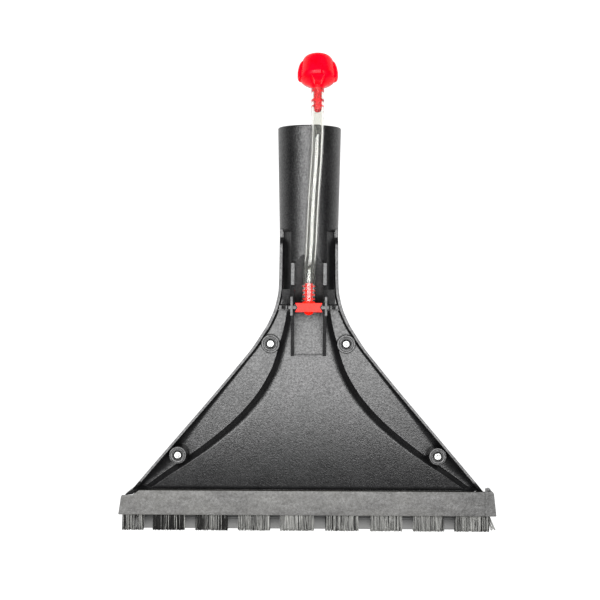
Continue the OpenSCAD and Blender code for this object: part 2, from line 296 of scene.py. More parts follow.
# %% Material tools
def new_finish(name, colour, roughness, **more):
    """A Principled material. Plain numbers are set on the shader's own sockets."""
    material = bpy.data.materials.new(name)
    material.use_nodes = True
    material.node_tree.nodes.clear()
    shader = material.node_tree.nodes.new("ShaderNodeBsdfPrincipled")
    output = material.node_tree.nodes.new("ShaderNodeOutputMaterial")
    material.node_tree.links.new(shader.outputs["BSDF"], output.inputs["Surface"])
    shader.inputs["Base Color"].default_value = (*colour, 1.0)
    shader.inputs["Roughness"].default_value = roughness
    for socket, value in more.items():
        shader.inputs[socket.replace("_", " ")].default_value = value
    return material, shader


def noise(material, size_mm, detail=3.0, rough=0.55, stretch=(1, 1, 1)):
    """Noise in object space, with features of about this size. Gives its output socket."""
    tree = material.node_tree
    where = tree.nodes.new("ShaderNodeTexCoord")
    scale = tree.nodes.new("ShaderNodeMapping")
    scale.inputs["Scale"].default_value = stretch
    texture = tree.nodes.new("ShaderNodeTexNoise")
    texture.inputs["Scale"].default_value = 1000.0 / size_mm
    texture.inputs["Detail"].default_value = detail
    texture.inputs["Roughness"].default_value = rough
    tree.links.new(where.outputs["Object"], scale.inputs["Vector"])
    tree.links.new(scale.outputs["Vector"], texture.inputs["Vector"])
    return texture.outputs["Fac"]


def spread(material, value, low, high, from_low=0.3, from_high=0.7):
    """Maps a noise value to a range of numbers."""
    node = material.node_tree.nodes.new("ShaderNodeMapRange")
    node.inputs["From Min"].default_value = from_low
    node.inputs["From Max"].default_value = from_high
    node.inputs["To Min"].default_value = low
    node.inputs["To Max"].default_value = high
    material.node_tree.links.new(value, node.inputs["Value"])
    return node.outputs["Result"]


def tint(material, value, dark, light, at=(0.35, 0.65)):
    """Maps a noise value to a colour between two colours."""
    ramp = material.node_tree.nodes.new("ShaderNodeValToRGB")
    ramp.color_ramp.elements[0].position, ramp.color_ramp.elements[1].position = at
    ramp.color_ramp.elements[0].color = (*dark, 1.0)
    ramp.color_ramp.elements[1].color = (*light, 1.0)
    material.node_tree.links.new(value, ramp.inputs["Fac"])
    return ramp.outputs["Color"]


def relief(material, shader, value, depth_mm, strength=1.0, after=None):
    """Adds a bump of a real depth, on top of an earlier one if given."""
    bump = material.node_tree.nodes.new("ShaderNodeBump")
    bump.inputs["Strength"].default_value = strength
    bump.inputs["Distance"].default_value = depth_mm * MM
    material.node_tree.links.new(value, bump.inputs["Height"])
    if after is not None:
        material.node_tree.links.new(after, bump.inputs["Normal"])
    material.node_tree.links.new(bump.outputs["Normal"], shader.inputs["Normal"])
    return bump.outputs["Normal"]


def position(material, axis):
    """How far a point lies along an axis, in metres. Gives the output socket."""
    tree = material.node_tree
    where = tree.nodes.new("ShaderNodeTexCoord")
    apart = tree.nodes.new("ShaderNodeSeparateXYZ")
    tree.links.new(where.outputs["Object"], apart.inputs["Vector"])
    return apart.outputs[axis]


def darken(material, colour, share, shade):
    """Multiplies a colour by a shade of grey, as far as the share from 0 to 1 says."""
    mix = material.node_tree.nodes.new("ShaderNodeMix")
    mix.data_type, mix.blend_type = "RGBA", "MULTIPLY"
    sockets = {socket.identifier: socket for socket in [*mix.inputs, *mix.outputs]}
    sockets["B_Color"].default_value = (shade, shade, shade, 1.0)
    material.node_tree.links.new(share, sockets["Factor_Float"])
    material.node_tree.links.new(colour, sockets["A_Color"])
    return sockets["Result_Color"]


def wire(material, value, shader, socket):
    """Leads a value to one of the shader's sockets."""
    material.node_tree.links.new(value, shader.inputs[socket])


print("material tools ready")

# %% [markdown]
# The shell is ABS with a spark-eroded grain. It is nearly black, so almost all that one sees is
# the light mirrored in it, broken up by the grain. Two sizes of grain are laid over each other,
# and slow clouds in the roughness stand for the polish that handling gives. A fine speckle in the
# strength of the mirroring makes single grains glint.

# %% Black grained plastic
black_shell, shader = new_finish("black_grained_plastic", (0.0028, 0.0028, 0.003), 0.30)
dust = noise(black_shell, 9.0, detail=4.0)
polish = noise(black_shell, 14.0)
speckle = noise(black_shell, 1.4, rough=0.7)
wire(black_shell, tint(black_shell, dust, (0.0026, 0.0026, 0.0028), (0.0050, 0.0050, 0.0053)),
     shader, "Base Color")
wire(black_shell, spread(black_shell, polish, 0.33, 0.39), shader, "Roughness")
wire(black_shell, spread(black_shell, speckle, 0.33, 0.67, 0.35, 0.65),
     shader, "Specular IOR Level")
grain = relief(black_shell, shader, noise(black_shell, 1.1, rough=0.7), depth_mm=0.2)
relief(black_shell, shader, noise(black_shell, 0.5, detail=1.0, rough=0.5), depth_mm=0.055,
       after=grain)
print("black plastic made")

# %% [markdown]
# The brush bar is moulded in a softer grey plastic. It has a satin surface with faint streaks
# along its length and small lighter scuffs. Its colour is made darker towards the right end, as
# the real one looks; why the real one does so isn't known.

# %% Grey bar plastic
DARKEN_FROM_X, DARKEN_FULL_X, DARKEN_GREY = 0.070, 0.118, 0.45
grey_bar, shader = new_finish("grey_bar_plastic", (0.035, 0.034, 0.031), 0.42)
scuffs = noise(grey_bar, 12.0, detail=6.0, rough=0.72, stretch=(0.45, 1, 1))
rubbed = noise(grey_bar, 5.0, detail=4.0, rough=0.6, stretch=(0.3, 1, 1))
speckle = noise(grey_bar, 1.6, rough=0.7)
plain_grey = tint(grey_bar, scuffs, (0.020, 0.0193, 0.018), (0.050, 0.049, 0.045), (0.3, 0.72))
# The colour is darkened towards the right end; the cause on the real one isn't known.
right_end_darkening = spread(grey_bar, position(grey_bar, "X"), 0.0, 1.0, DARKEN_FROM_X, DARKEN_FULL_X)
wire(grey_bar, darken(grey_bar, plain_grey, right_end_darkening, DARKEN_GREY), shader, "Base Color")
wire(grey_bar, spread(grey_bar, rubbed, 0.42, 0.58), shader, "Roughness")
wire(grey_bar, spread(grey_bar, speckle, 0.3, 0.62, 0.35, 0.65), shader, "Specular IOR Level")
grain = relief(grey_bar, shader, noise(grey_bar, 1.2, rough=0.7), depth_mm=0.17)
streaks = noise(grey_bar, 7.0, detail=2.0, rough=0.5, stretch=(0.2, 1, 1))
relief(grey_bar, shader, streaks, depth_mm=0.06, strength=0.5, after=grain)
print("grey plastic made")

# %% [markdown]
# The jet and the coupling are a glossy, strongly coloured red plastic. Their moulded skin has a
# slight orange peel, which breaks up the highlights. The jet's red is a little warmer than the
# coupling's. Their mirroring is turned down, so that the large lamp doesn't pale the colour.

# %% Red glossy plastic
def make_red(name, dark, light):
    """A glossy red whose pigment wanders between a darker and a lighter tone."""
    red, shader = new_finish(name, light, 0.3, Specular_IOR_Level=0.12)
    wire(red, tint(red, noise(red, 6.0), dark, light), shader, "Base Color")
    wire(red, spread(red, noise(red, 3.0), 0.22, 0.34), shader, "Roughness")
    relief(red, shader, noise(red, 1.6, detail=2.0), depth_mm=0.02, strength=0.5)
    return red


red_plastic = make_red("red_glossy_plastic", (0.70, 0.0001, 0.006), (0.82, 0.0002, 0.011))
jet_red = make_red("red_jet_plastic", (0.78, 0.008, 0.0022), (0.90, 0.012, 0.004))
print("red plastics made")

# %% [markdown]
# The hose is clear soft PVC: a real tube with a wall, so that light bends at four surfaces. Its
# drawn surface is very slightly wavy along its length. Its mirroring is set to 0.7 of the real
# strength, because at full strength the lamp drew one hard white streak on it.

# %% Clear hose plastic
clear_pvc, shader = new_finish("clear_soft_pvc", (0.86, 0.865, 0.825), 0.06,
                               Transmission_Weight=0.977, IOR=1.5,
                               Specular_Tint=(0.7, 0.7, 0.7, 1.0))
drawn = noise(clear_pvc, 5.0, rough=0.5, stretch=(1, 0.25, 1))
waves = noise(clear_pvc, 3.0, detail=2.0, rough=0.5, stretch=(1, 0.15, 1))
wire(clear_pvc, spread(clear_pvc, drawn, 0.05, 0.12), shader, "Roughness")
relief(clear_pvc, shader, waves, depth_mm=0.03, strength=0.4)
print("clear plastic made")

# %% [markdown]
# The screws are bright zinc with a faintly blotched plating, and the seals are plain black rubber.

# %% Zinc and seal rubber
bright_zinc, shader = new_finish("bright_zinc", (0.12, 0.12, 0.12), 0.25, Metallic=1.0)
plating = noise(bright_zinc, 1.5, detail=4.0)
wire(bright_zinc, tint(bright_zinc, plating, (0.12, 0.121, 0.12), (0.27, 0.272, 0.27)),
     shader, "Base Color")
wire(bright_zinc, spread(bright_zinc, noise(bright_zinc, 0.8), 0.18, 0.36), shader, "Roughness")
relief(bright_zinc, shader, noise(bright_zinc, 0.7, detail=2.0), depth_mm=0.01, strength=0.4)

seal_rubber, shader = new_finish("black_seal_rubber", (0.012, 0.012, 0.012), 0.6)
wire(seal_rubber, spread(seal_rubber, noise(seal_rubber, 2.0), 0.5, 0.7), shader, "Roughness")
relief(seal_rubber, shader, noise(seal_rubber, 0.9, detail=2.0), depth_mm=0.02, strength=0.5)
print("zinc and seal rubber made")

# %% [markdown]
# The blade is light rubber. It looks dark where it leaves the bar and pale at its edge, so its
# colour follows the distance from the bar, and a noise makes that border wander. Whether dirt,
# wear or shade does this on the real one isn't known.

# %% Blade rubber
PALE_FROM_Y, PALE_FULL_Y, PALE_WANDER = -0.1295, -0.1375, 0.0012
blade_rubber, shader = new_finish("light_blade_rubber", (0.06, 0.06, 0.059), 0.55,
                                  Specular_IOR_Level=0.3)
wander = blade_rubber.node_tree.nodes.new("ShaderNodeMath")
wander.operation = "MULTIPLY_ADD"
wander.inputs[1].default_value = PALE_WANDER
blade_rubber.node_tree.links.new(
    noise(blade_rubber, 6.0, rough=0.5, stretch=(0.3, 1, 1)), wander.inputs[0])
blade_rubber.node_tree.links.new(position(blade_rubber, "Y"), wander.inputs[2])
# Darker near the bar and paler towards the edge; the cause on the real one isn't known.
pale_toward_edge = spread(blade_rubber, wander.outputs["Value"], 0.0, 1.0, PALE_FROM_Y, PALE_FULL_Y)
wire(blade_rubber,
     tint(blade_rubber, pale_toward_edge, (0.012, 0.012, 0.012), (0.108, 0.108, 0.106), (0.1, 0.9)),
     shader, "Base Color")
cut_marks = noise(blade_rubber, 1.5, detail=2.0, rough=0.5, stretch=(0.2, 1, 1))
relief(blade_rubber, shader, cut_marks, depth_mm=0.02, strength=0.5)
print("blade rubber made")

# %% [markdown]
# The bristles are black nylon and clear nylon. Each has a tone that changes from bristle to
# bristle and hardly at all along one, so the noise is stretched along their length.

# %% Bristle nylons
black_nylon, shader = new_finish("black_nylon", (0.01, 0.01, 0.01), 0.55,
                                 Specular_IOR_Level=0.15)
tone = noise(black_nylon, 1.2, detail=2.0, rough=0.5, stretch=(1, 0.1, 1))
wire(black_nylon, tint(black_nylon, tone, (0.003, 0.003, 0.003), (0.013, 0.013, 0.012)),
     shader, "Base Color")
relief(black_nylon, shader, noise(black_nylon, 0.6, detail=1.0), depth_mm=0.01, strength=0.4)

clear_nylon, shader = new_finish("clear_nylon", (0.30, 0.30, 0.285), 0.35,
                                 Transmission_Weight=0.25, IOR=1.45)
tone = noise(clear_nylon, 1.4, detail=2.0, rough=0.5, stretch=(1, 0.1, 1))
wire(clear_nylon, tint(clear_nylon, tone, (0.09, 0.09, 0.085), (0.28, 0.28, 0.265)),
     shader, "Base Color")
relief(clear_nylon, shader, noise(clear_nylon, 0.6, detail=1.0), depth_mm=0.01, strength=0.4)
print(len(bpy.data.materials), "finishes made")

# %% [markdown]
# ## The solution hose
#
# The hose comes first among the pieces, because a hose has a length of its own. It is a 6 by 9 mm
# clear tube, 147 mm long, pushed on the jet's barb at one end and on the coupling's stem at the
# other. It lies along the neck, lifts a little at the mouth and droops with the coupling's weight.
# The route's points are those of the part's own source, and a smooth curve runs through them.


# %% Hose
def curve_through(route, steps):
    """A smooth line through the route's points, with this many steps between them."""
    line = []
    for i in range(len(route) - 1):
        a, b = Vector(route[max(i - 1, 0)]), Vector(route[i])
        c, d = Vector(route[i + 1]), Vector(route[min(i + 2, len(route) - 1)])
        for k in range(steps):
            t = k / steps
            line.append(0.5 * (2 * b + (c - a) * t + (2 * a - 5 * b + 4 * c - d) * t**2
                               + (3 * b - a - 3 * c + d) * t**3))
    line.append(Vector(route[-1]))
    return line


def rings_along(line, radius, count):
    """Round sections along a line, without twist. The radius may be a function of the distance."""
    rings, gone = [], 0.0
    for i, point in enumerate(line):
        along = (line[min(i + 1, len(line) - 1)] - line[max(i - 1, 0)]).normalized()
        side = Vector((0, 0, 1)).cross(along).normalized()
        up = along.cross(side)
        gone += (point - line[i - 1]).length if i else 0.0
        r = radius(gone) if callable(radius) else radius
        rings.append([tuple(point + r * (side * math.cos(2 * math.pi * k / count)
                                         + up * math.sin(2 * math.pi * k / count)))
                      for k in range(count)])
    return rings


HOSE_R, HOSE_BORE = 4.5, 3.0
HOSE_ROUTE = [
    (0, 20.3, 42.5), (0, 26, 42.5), (0, 33, 42.8), (0.3, 41, 44.3), (0.9, 50, 46.6),
    (1.5, 60, 47.9), (2.1, 75, 49.3), (2.9, 92, 51.3), (3.8, 106, 52.7), (4.5, 117, 53.4),
    (4.9, 126, 53.3), (5.2, 134, 52.5), (5.3, 141, 51.2), (5.3, 148, 49.45), (5.3, 155, 47),
    (5.3, 164.8, 43.47)]
hose_line = curve_through(HOSE_ROUTE, 6)
hose_length = sum((b - a).length for a, b in zip(hose_line, hose_line[1:]))


ON_JET, ON_STEM, SWELL = 12.0, 16.0, 0.12


def hose_outside(gone):
    """The tube's radius. It swells a little where the jet's barb and the stem stretch it."""
    stretched = gone < ON_JET or gone > hose_length - ON_STEM
    return HOSE_R - (0.0 if stretched else SWELL)


HOSE_SIDES = 40
outside = rings_along(hose_line, hose_outside, HOSE_SIDES)
inside = rings_along(hose_line, HOSE_BORE, HOSE_SIDES)
hose_skin = outside + inside[::-1] + [outside[0]]
solution_hose = loft("solution_hose_tube", hose_skin, 50.0, ends=False)
finish_piece(solution_hose, "water_line", clear_pvc, "clear_pvc", "solution_hose")
print("hose is", round(hose_length, 1), "mm long")

# %% [markdown]
# ## The red coupling
#
# On the free end sits a quick coupling. It is turned, so the lathe suits it: a barbed stem, a
# conical shoulder and a drum that narrows to its open end. A small key and a seam ridge stand on
# it. The coupling's place and direction come from the frame's water socket.

# %% Coupling
mounts = {m["name"]: m for m in frame["record"]["mounts"]}
water = mounts["water_socket"]
coupling_axis = Vector(water["axis"]).normalized()
SOCKET_DEPTH = 18.0
shoulder = Vector([c * 1000 for c in water["pos_m"]]) - coupling_axis * SOCKET_DEPTH
tilt = math.asin(-coupling_axis.z)
coupling_frame = (Matrix.Translation(shoulder)
                  @ Matrix.Rotation(-math.pi / 2 - tilt, 4, "X"))


def ridge(start, length, outer, inner):
    """One barb ridge of a profile: steep side first, then a slope down."""
    return [(start, inner), (start + 0.15, outer), (start + 0.55, outer), (start + length, inner)]


stem = [(-16.6, 0.0), (-16.6, 2.1), (-16.2, 2.4), (-14.2, 2.85), (-13.4, 3.2), (-12.9, 3.2),
        (-12.7, 2.8), (-10.4, 2.9), (-8.6, 3.3), (-8.1, 3.3), (-7.9, 2.88), (-3.4, 2.95),
        (-1.6, 3.05), (-0.2, 3.5)]
drum = [(0.0, 4.2), (1.5, 4.4), (2.9, 5.4), (4.6, 8.2), (5.9, 10.3), (7.0, 11.5), (8.1, 12.1),
        (9.1, 12.3), (10.0, 12.25), (13.0, 12.0), (16.0, 11.65), (18.6, 11.25), (20.4, 10.9),
        (21.8, 10.4), (22.9, 9.8), (23.6, 9.1), (24.0, 8.2)]
socket = [(24.0, 6.6), (23.6, 6.1), (12.7, 6.0), (12.6, 7.3), (10.0, 7.3), (9.9, 6.0),
          (8.0, 6.0), (7.9, 1.5), (7.9, 0.0)]
coupling = lathe("coupling_drum", stem + drum + socket, coupling_frame, 64, 38.0)


def in_coupling(piece):
    """Moves a piece from the coupling's own frame to its place."""
    piece.data.transform(Matrix.Translation(shoulder * MM) @ coupling_frame.to_3x3().to_4x4())
    return piece


WINDOW_X, WINDOW_Z, WINDOW_HALF = (9.05, 15.0), (7.3, 20.1), 4.3
windows = [in_coupling(box_piece("window", on_side(side, *WINDOW_X), (-WINDOW_HALF, WINDOW_HALF),
                                 WINDOW_Z, 0.5)) for side in (1, -1)]
coupling = cut_away(coupling, windows, 38.0)

key_outline = [(-2.2, 0.5), (2.2, 0.5), (4.6, 5.6), (-4.6, 5.6)]
key = in_coupling(prism("key", key_outline, -12.1, -6.0, "y", 0.4))
seam = in_coupling(box_piece("seam", (2.0, 3.1), (-12.3, -10.0), (6.4, 18.4), 0.3))
coupling = join_all(coupling, [key, seam], 38.0)
finish_piece(coupling, "water_line", red_plastic, "red_plastic", "coupling_body")

# %% [markdown]
# Two ears stand in windows in the drum's sides, and squeezing them lets the water line go. An ear
# is lofted along the drum: each section has the same rounded back and reaches out a little more
# or less. Three grooves give the fingers a grip.

# %% Release ears
EAR_HALF, EAR_ROOT = 4.0, 10.65
EAR_REACH = [(7.65, 12.6), (7.9, 13.2), (8.6, 13.75), (9.6, 13.9), (12.5, 13.88), (14.4, 13.6),
             (16.2, 13.25), (17.9, 12.7), (19.2, 12.1), (19.8, 11.5)]
EAR_BACK = [(-EAR_HALF, 1.0), (-3.4, 0.45), (-2.2, 0.1), (-0.8, 0.0), (0.8, 0.0), (2.2, 0.1),
            (3.4, 0.45), (EAR_HALF, 1.0)]
GROOVES, GROOVE_WIDTH = (9.6, 11.2, 12.8), 0.5
for side, name in ((1, "right"), (-1, "left")):
    ear_sections = []
    for z, reach in EAR_REACH:
        outline = [(-EAR_HALF, EAR_ROOT)] + [(y, reach - less) for y, less in EAR_BACK]
        outline.append((EAR_HALF, EAR_ROOT))
        ear_sections.append([(side * x, y, z) for y, x in outline])
    ear = loft("release_ear_" + name, ear_sections, 38.0)
    grooves = [box_piece("groove", on_side(side, 13.4, 17.8), (-5, 5), (z, z + GROOVE_WIDTH))
               for z in GROOVES]
    ear = cut_away(ear, grooves, 38.0)
    in_coupling(ear)
    finish_piece(ear, "release_" + name, red_plastic, "red_plastic", "release_tab_" + name)

# %% [markdown]
# A rubber ring lies in a groove inside the socket. Its sections go once round the axis, so the
# last one is the first one again and the ring needs no ends.

# %% Seal ring of the coupling
RING_R, CORD_R, RING_PLACE, RING_STEPS, CORD_STEPS = 6.1, 1.18, 11.3, 48, 16
ring_sections = []
for k in range(RING_STEPS):
    a = 2 * math.pi * k / RING_STEPS
    centre = Vector((RING_R * math.cos(a), RING_R * math.sin(a), RING_PLACE))
    out = Vector((centre.x, centre.y, 0)).normalized()
    around = [2 * math.pi * j / CORD_STEPS for j in range(CORD_STEPS)]
    ring_sections.append([tuple(centre + out * CORD_R * math.cos(b)
                                + Vector((0, 0, CORD_R * math.sin(b)))) for b in around])
seal_ring = in_coupling(loft("coupling_ring_seal", ring_sections + [ring_sections[0]],
                             60.0, ends=False))
finish_piece(seal_ring, "water_line", seal_rubber, "black_rubber", "coupling_seal_ring")

# %% [markdown]

# %% [markdown]
# ## The spray jet
#
# The jet is a T. Its cross bar has a notch in each end that slides down over the holder's pins, a
# ribbed barb carries the hose, and a small dome under the bar spreads the water into a fan.

# %% Jet
jet_low, jet_high = place_of("spray_jet")
JET_HALF = (jet_high[0] - jet_low[0]) / 2
BAR_THICK, NOTCH = 3.1, 1.9
JET_Y, JET_Z, JET_FLOOR = jet_low[1] + BAR_THICK, 42.5, 40.0
upper, lower = JET_Y + BAR_THICK, JET_Y - BAR_THICK
bar_outline = [(JET_HALF, upper), (JET_HALF - NOTCH, JET_Y), (JET_HALF, lower),
               (-JET_HALF, lower), (-JET_HALF + NOTCH, JET_Y), (-JET_HALF, upper)]
jet_bar = prism("jet_body", bar_outline, JET_FLOOR, jet_high[2], "z", 0.35)
along_neck = axis_at((0, 0, JET_Z), (0, 1, 0))
barrel = [(JET_Y - 2.9, 0.0), (JET_Y - 2.9, 4.0), (JET_Y + 2.9, 4.4), (19.6, 4.35), (20.2, 4.0),
          (20.25, 3.0)]
for start in (21.2, 24.1, 27.0, 29.9):
    barrel += ridge(start, 2.6, 3.25, 2.6)
barrel += [(32.6, 2.3), (32.6, 0.0)]
jet_barrel = lathe("barrel", barrel, along_neck, 48, 38.0)
water_way = lathe("water_way", [(10, 0), (10, 1.4), (34, 1.4), (34, 0)], along_neck, 24)
tip_seat = lathe("tip_seat", [(10, 0), (10, 1.9), (16.6, 1.9), (16.6, 0)], along_neck, 24)
jet = join_all(jet_bar, [jet_barrel], 38.0)
jet = cut_away(jet, [water_way, tip_seat], 38.0)
finish_piece(jet, "water_line", jet_red, "red_plastic", "spray_jet")

# %% [markdown]
# The dome under the cross bar is a piece of its own, pressed in from below. A narrow slot across
# it lets the water out as a fan.

# %% Jet dome
DOME_Y = place_of("jet_tip")[0][1]
TIP_FACE = JET_Y - 3.15
dome = [(DOME_Y, 0.0), (DOME_Y + 0.03, 0.6), (DOME_Y + 0.2, 1.3), (DOME_Y + 0.55, 2.05),
        (DOME_Y + 1.1, 2.75), (DOME_Y + 1.75, 3.2), (TIP_FACE - 0.2, 3.4), (TIP_FACE, 3.3),
        (TIP_FACE + 0.02, 1.85), (TIP_FACE + 3.2, 1.85), (TIP_FACE + 3.2, 0.0)]
jet_dome = lathe("jet_dome", dome, along_neck, 48, 38.0)
fan_slot = box_piece("fan_slot", (-3.6, 3.6), (DOME_Y - 1, TIP_FACE - 0.9),
                     (JET_Z - 0.35, JET_Z + 0.35))
jet_dome = cut_away(jet_dome, [fan_slot], 38.0)
finish_piece(jet_dome, "water_line", jet_red, "red_plastic", "jet_tip")

# %% [markdown]
# ## The front shell
#
# The shell is one moulding, and its shape is easiest to describe as a section across it that
# changes on the way from the neck to the mouth. In the middle the duct stands proud with a rounded
# shoulder and a sloping side. Beside it lie the flat wings, and outside them stands the rim. The
# functions below give the levels and widths at any distance along the head.

# %% Levels and widths
rim_half = smooth_curve([(MOUTH_Y - 3, 125.8), (MOUTH_Y, 123.2), (-95, 108.4), (-75, 91.3),
                         (-55, 74.2), (-40, 61.5), (-30, 53.2), (-22, 46.7), (-14, 40.2),
                         (-8, 36.0), (-2, 32.2), (3, 29.0), (9, 26.1), (14, 24.0), (20, 22.3),
                         (28, 20.9), (38, 20.5), (60, 20.3), (72, 20.2)])
foot_half = smooth_curve([(MOUTH_Y, 116.4), (-108, 110.7), (-100, 100), (-92, 88.6), (-83, 76),
                          (-73, 63.4), (-64, 53), (-55, 44.2), (-46, 36.7), (-36, 30.2),
                          (-26, 25.2), (-17, 22.1), (-8, 19.6), (0, 17.5), (8, 15.8), (14, 15),
                          (19, 13.4), (60, 13.2)])
band_width = smooth_curve([(MOUTH_Y, 5.2), (-104, 6.0), (-87, 7.2), (-68, 7.1), (-50, 6.4),
                           (-28, 5.4), (-9, 5.1), (12, 4.8), (20, 1.6), (60, 1.4)])
rim_level = smooth_curve([(MOUTH_Y, 16.9), (-109.5, 23.0), (-107.2, 28.2), (-105.5, 29.9),
                          (-104, 30.0), (56, 30.0), (60, 29.7), (63, 27.8), (71, 22.2)])
fillet = smooth_curve([(MOUTH_Y, 6.5), (-98, 8.5), (-85, 8.0), (-65, 5.0), (-40, 3.0), (-20, 2.2),
                       (9, 1.6), (20, 0.9), (60, 0.9)])


WING_TOP, DUCT_TOP = 26.0, 31.0
JET_END_Y, MOUTH_DIP_Y = 9.5, -109.8
WALL, ROOF, RIM_WALL = 3.0, 2.5, 2.55


def wing_level(y):
    """The flat wings sink towards the mouth on a parabola."""
    return WING_TOP - (16.2 * ((10 - y) / 120) ** 2 if y < 10 else 0.0)


def duct_level(y):
    """The duct's top: it starts with a short slope at the jet and also sinks to the mouth."""
    if y > JET_END_Y:
        return DUCT_TOP - 3.0 * min(1.0, (y - JET_END_Y) / 4.0)
    dip = ((MOUTH_DIP_Y - y) / 2.6) ** 2 if y < MOUTH_DIP_Y else 0.0
    return DUCT_TOP - dip - (15.4 * ((-20 - y) / 90) ** 2 if y < -20 else 0.0)


print("rim half width at the mouth", round(rim_half(MOUTH_Y), 1), "mm")


# %% [markdown]
# One section is listed from the middle of the front outwards, over the rim and back along the
# inside. Sharp corners get two close points each, so that the smooth skin keeps a crisp edge with
# a small moulded radius.

# %% Sections of the front shell
def bend(a, corner, b, steps):
    """Points of a smooth bend from a to b that leans on the corner."""
    out = []
    for k in range(steps + 1):
        t = k / steps
        out.append(((1 - t) ** 2 * a[0] + 2 * t * (1 - t) * corner[0] + t * t * b[0],
                    (1 - t) ** 2 * a[1] + 2 * t * (1 - t) * corner[1] + t * t * b[1]))
    return out


def front_half_section(y):
    """The right half of the section at y, as (x, z) pairs."""
    top, wing, rim = duct_level(y), wing_level(y), rim_level(y)
    foot, outer, width = foot_half(y), rim_half(y), band_width(y)
    rim = max(rim, wing + 0.6)
    high = top - wing
    soft = min(max((y + 105) / 55, 0.0), 1.0) if y < 8 else 0.5
    shoulder_x = foot - width
    start = max(shoulder_x - 0.3 - 2.3 * soft, 3.0)
    points = [(start * f, top) for f in (0.0, 0.2, 0.4, 0.6, 0.8)]
    points += bend((start, top), (shoulder_x + (0.08 + 0.27 * soft) * width, top),
                   (shoulder_x + 0.62 * width, top - 0.52 * high), 7)
    points += bend((foot - 0.06 * width, wing + 0.08 * high), (foot, wing), (foot + 0.5, wing), 3)
    base = outer - RIM_WALL
    sweep = min(fillet(y), 0.7 * (base - foot - 0.5))
    span = base - sweep - (foot + 0.5)
    points += [(foot + 0.5 + span * f, wing) for f in (0.33, 0.66)]
    points += bend((base - sweep, wing), (base - 0.25 * sweep, wing),
                   (base, wing + min(0.9 * sweep, rim - wing - 0.3)), 6)
    inside = base + 0.35
    points += bend((inside, rim - 0.35), (inside, rim), (inside + 0.4, rim), 3)
    points += bend((outer - 0.5, rim), (outer, rim), (outer, rim - 0.5), 3)
    under = wing - WALL
    points += [(outer - 0.05, (rim + under) / 2), (outer - 0.15, under + 0.4),
               (outer - 0.5, under), (base + 0.3, under), ((base + foot) / 2, under),
               (foot - 2.0, under)]
    ceiling, ceiling_end = top - ROOF, shoulder_x - 2.4
    points += [(foot - 2.4 - 0.2 * width, under + 0.25 * (ceiling - under)),
               (shoulder_x - 1.2, ceiling - 0.5)]
    points += [(ceiling_end * f, ceiling) for f in (1.0, 0.66, 0.33, 0.0)]
    return points


def whole_section(y, half):
    """Both halves of a section as points in space, going once round."""
    right = [(x, y, z) for x, z in half]
    left = [(-x, y, z) for x, z in half]
    return right + left[-2:0:-1]


BODY_END_Y, FINE_STEP, PLAIN_STEP = 71.0, 0.7, 1.9
stations = [MOUTH_Y]
while stations[-1] < BODY_END_Y:
    here = stations[-1]
    fine = here < -102 or 6 < here < 24 or here > 54
    stations.append(here + (FINE_STEP if fine else PLAIN_STEP))
front = loft("front_shell_moulding",
             [whole_section(y, front_half_section(y)) for y in stations], 30.0)
dark_corner = [(14.9, 32.0), (14.9, 25.4), (18.4, 24.0), (18.4, 32.0)]
cut_away(front, [prism("dip", dark_corner, *on_side(side, 12.5, 20.4), "x")
                 for side in (1, -1)], 30.0)
print("front skin has", len(front.data.vertices), "points")

# %% [markdown]
# ### The neck
#
# The neck is a tube that tapers towards the body. It runs on under the jet's pocket, so that its
# sides blend into the rims. The pocket is cut into its front, and its two flanks are cut back to
# flat cheeks, which fade out again further up.


# %% Neck
NECK_START, NECK_R, NECK_LOW_R, EDGE = 28.5, 22.0, 20.0, 0.8
neck_axis = axis_at((0, 0, NECK_Z), (0, 1, 0))


def neck_radius(y):
    """The neck widens slowly to its mouth, whose edge is rounded off."""
    if y > NECK_END - EDGE:
        return NECK_R - 0.5 * ((y - (NECK_END - EDGE)) / EDGE) ** 2
    return NECK_LOW_R + (NECK_R - NECK_LOW_R) * max(0.0, (y - 50) / 91)


neck_stations = [NECK_START, 28.8] + [30 + 4 * k for k in range(28)]
neck_stations += [140.2, 140.5, 140.8, NECK_END]
neck_profile = [(NECK_START, 0.0)] + [(y, neck_radius(y)) for y in neck_stations]
neck_profile.append((NECK_END, 0.0))
neck = lathe("neck", neck_profile, neck_axis, 128, 30.0)
below = box_piece("below", (-30, 30), (20, 49.9), (-5, 22.9))
neck = cut_away(neck, [below], 30.0)
pocket_side = [(28.0, 32.1), (51.8, 41.7), (52.2, 60.0), (28.0, 60.0)]
cuts = [prism("pocket", pocket_side, -9.9, 9.9, "x")]
cheek = [(12.25, 60.0), (12.25, 33.6), (18.5, 25.0), (40.0, 25.0), (40.0, 60.0)]
fading = [(17.3, 60.0), (17.3, 36.6), (19.9, 25.0), (40.0, 25.0), (40.0, 60.0)]
for side in (1, -1):
    cuts.append(loft("flank", [[(side * x, y, z) for x, z in shape]
                               for y, shape in ((26.0, cheek), (68.3, cheek), (70.8, fading))]))
neck = cut_away(neck, cuts, 30.0)
print("neck made,", len(neck.data.polygons), "faces")

# %% [markdown]
# ### The jet's holder
#
# The jet sits between two fins, each with a thinner rib along it and a pin that fills the notch of
# the cross bar. A cradle carries the jet's barrel, and a ramp leads on from it to the duct's top.
# What the small walls and blocks beside the fins are for isn't known; they follow its looks.

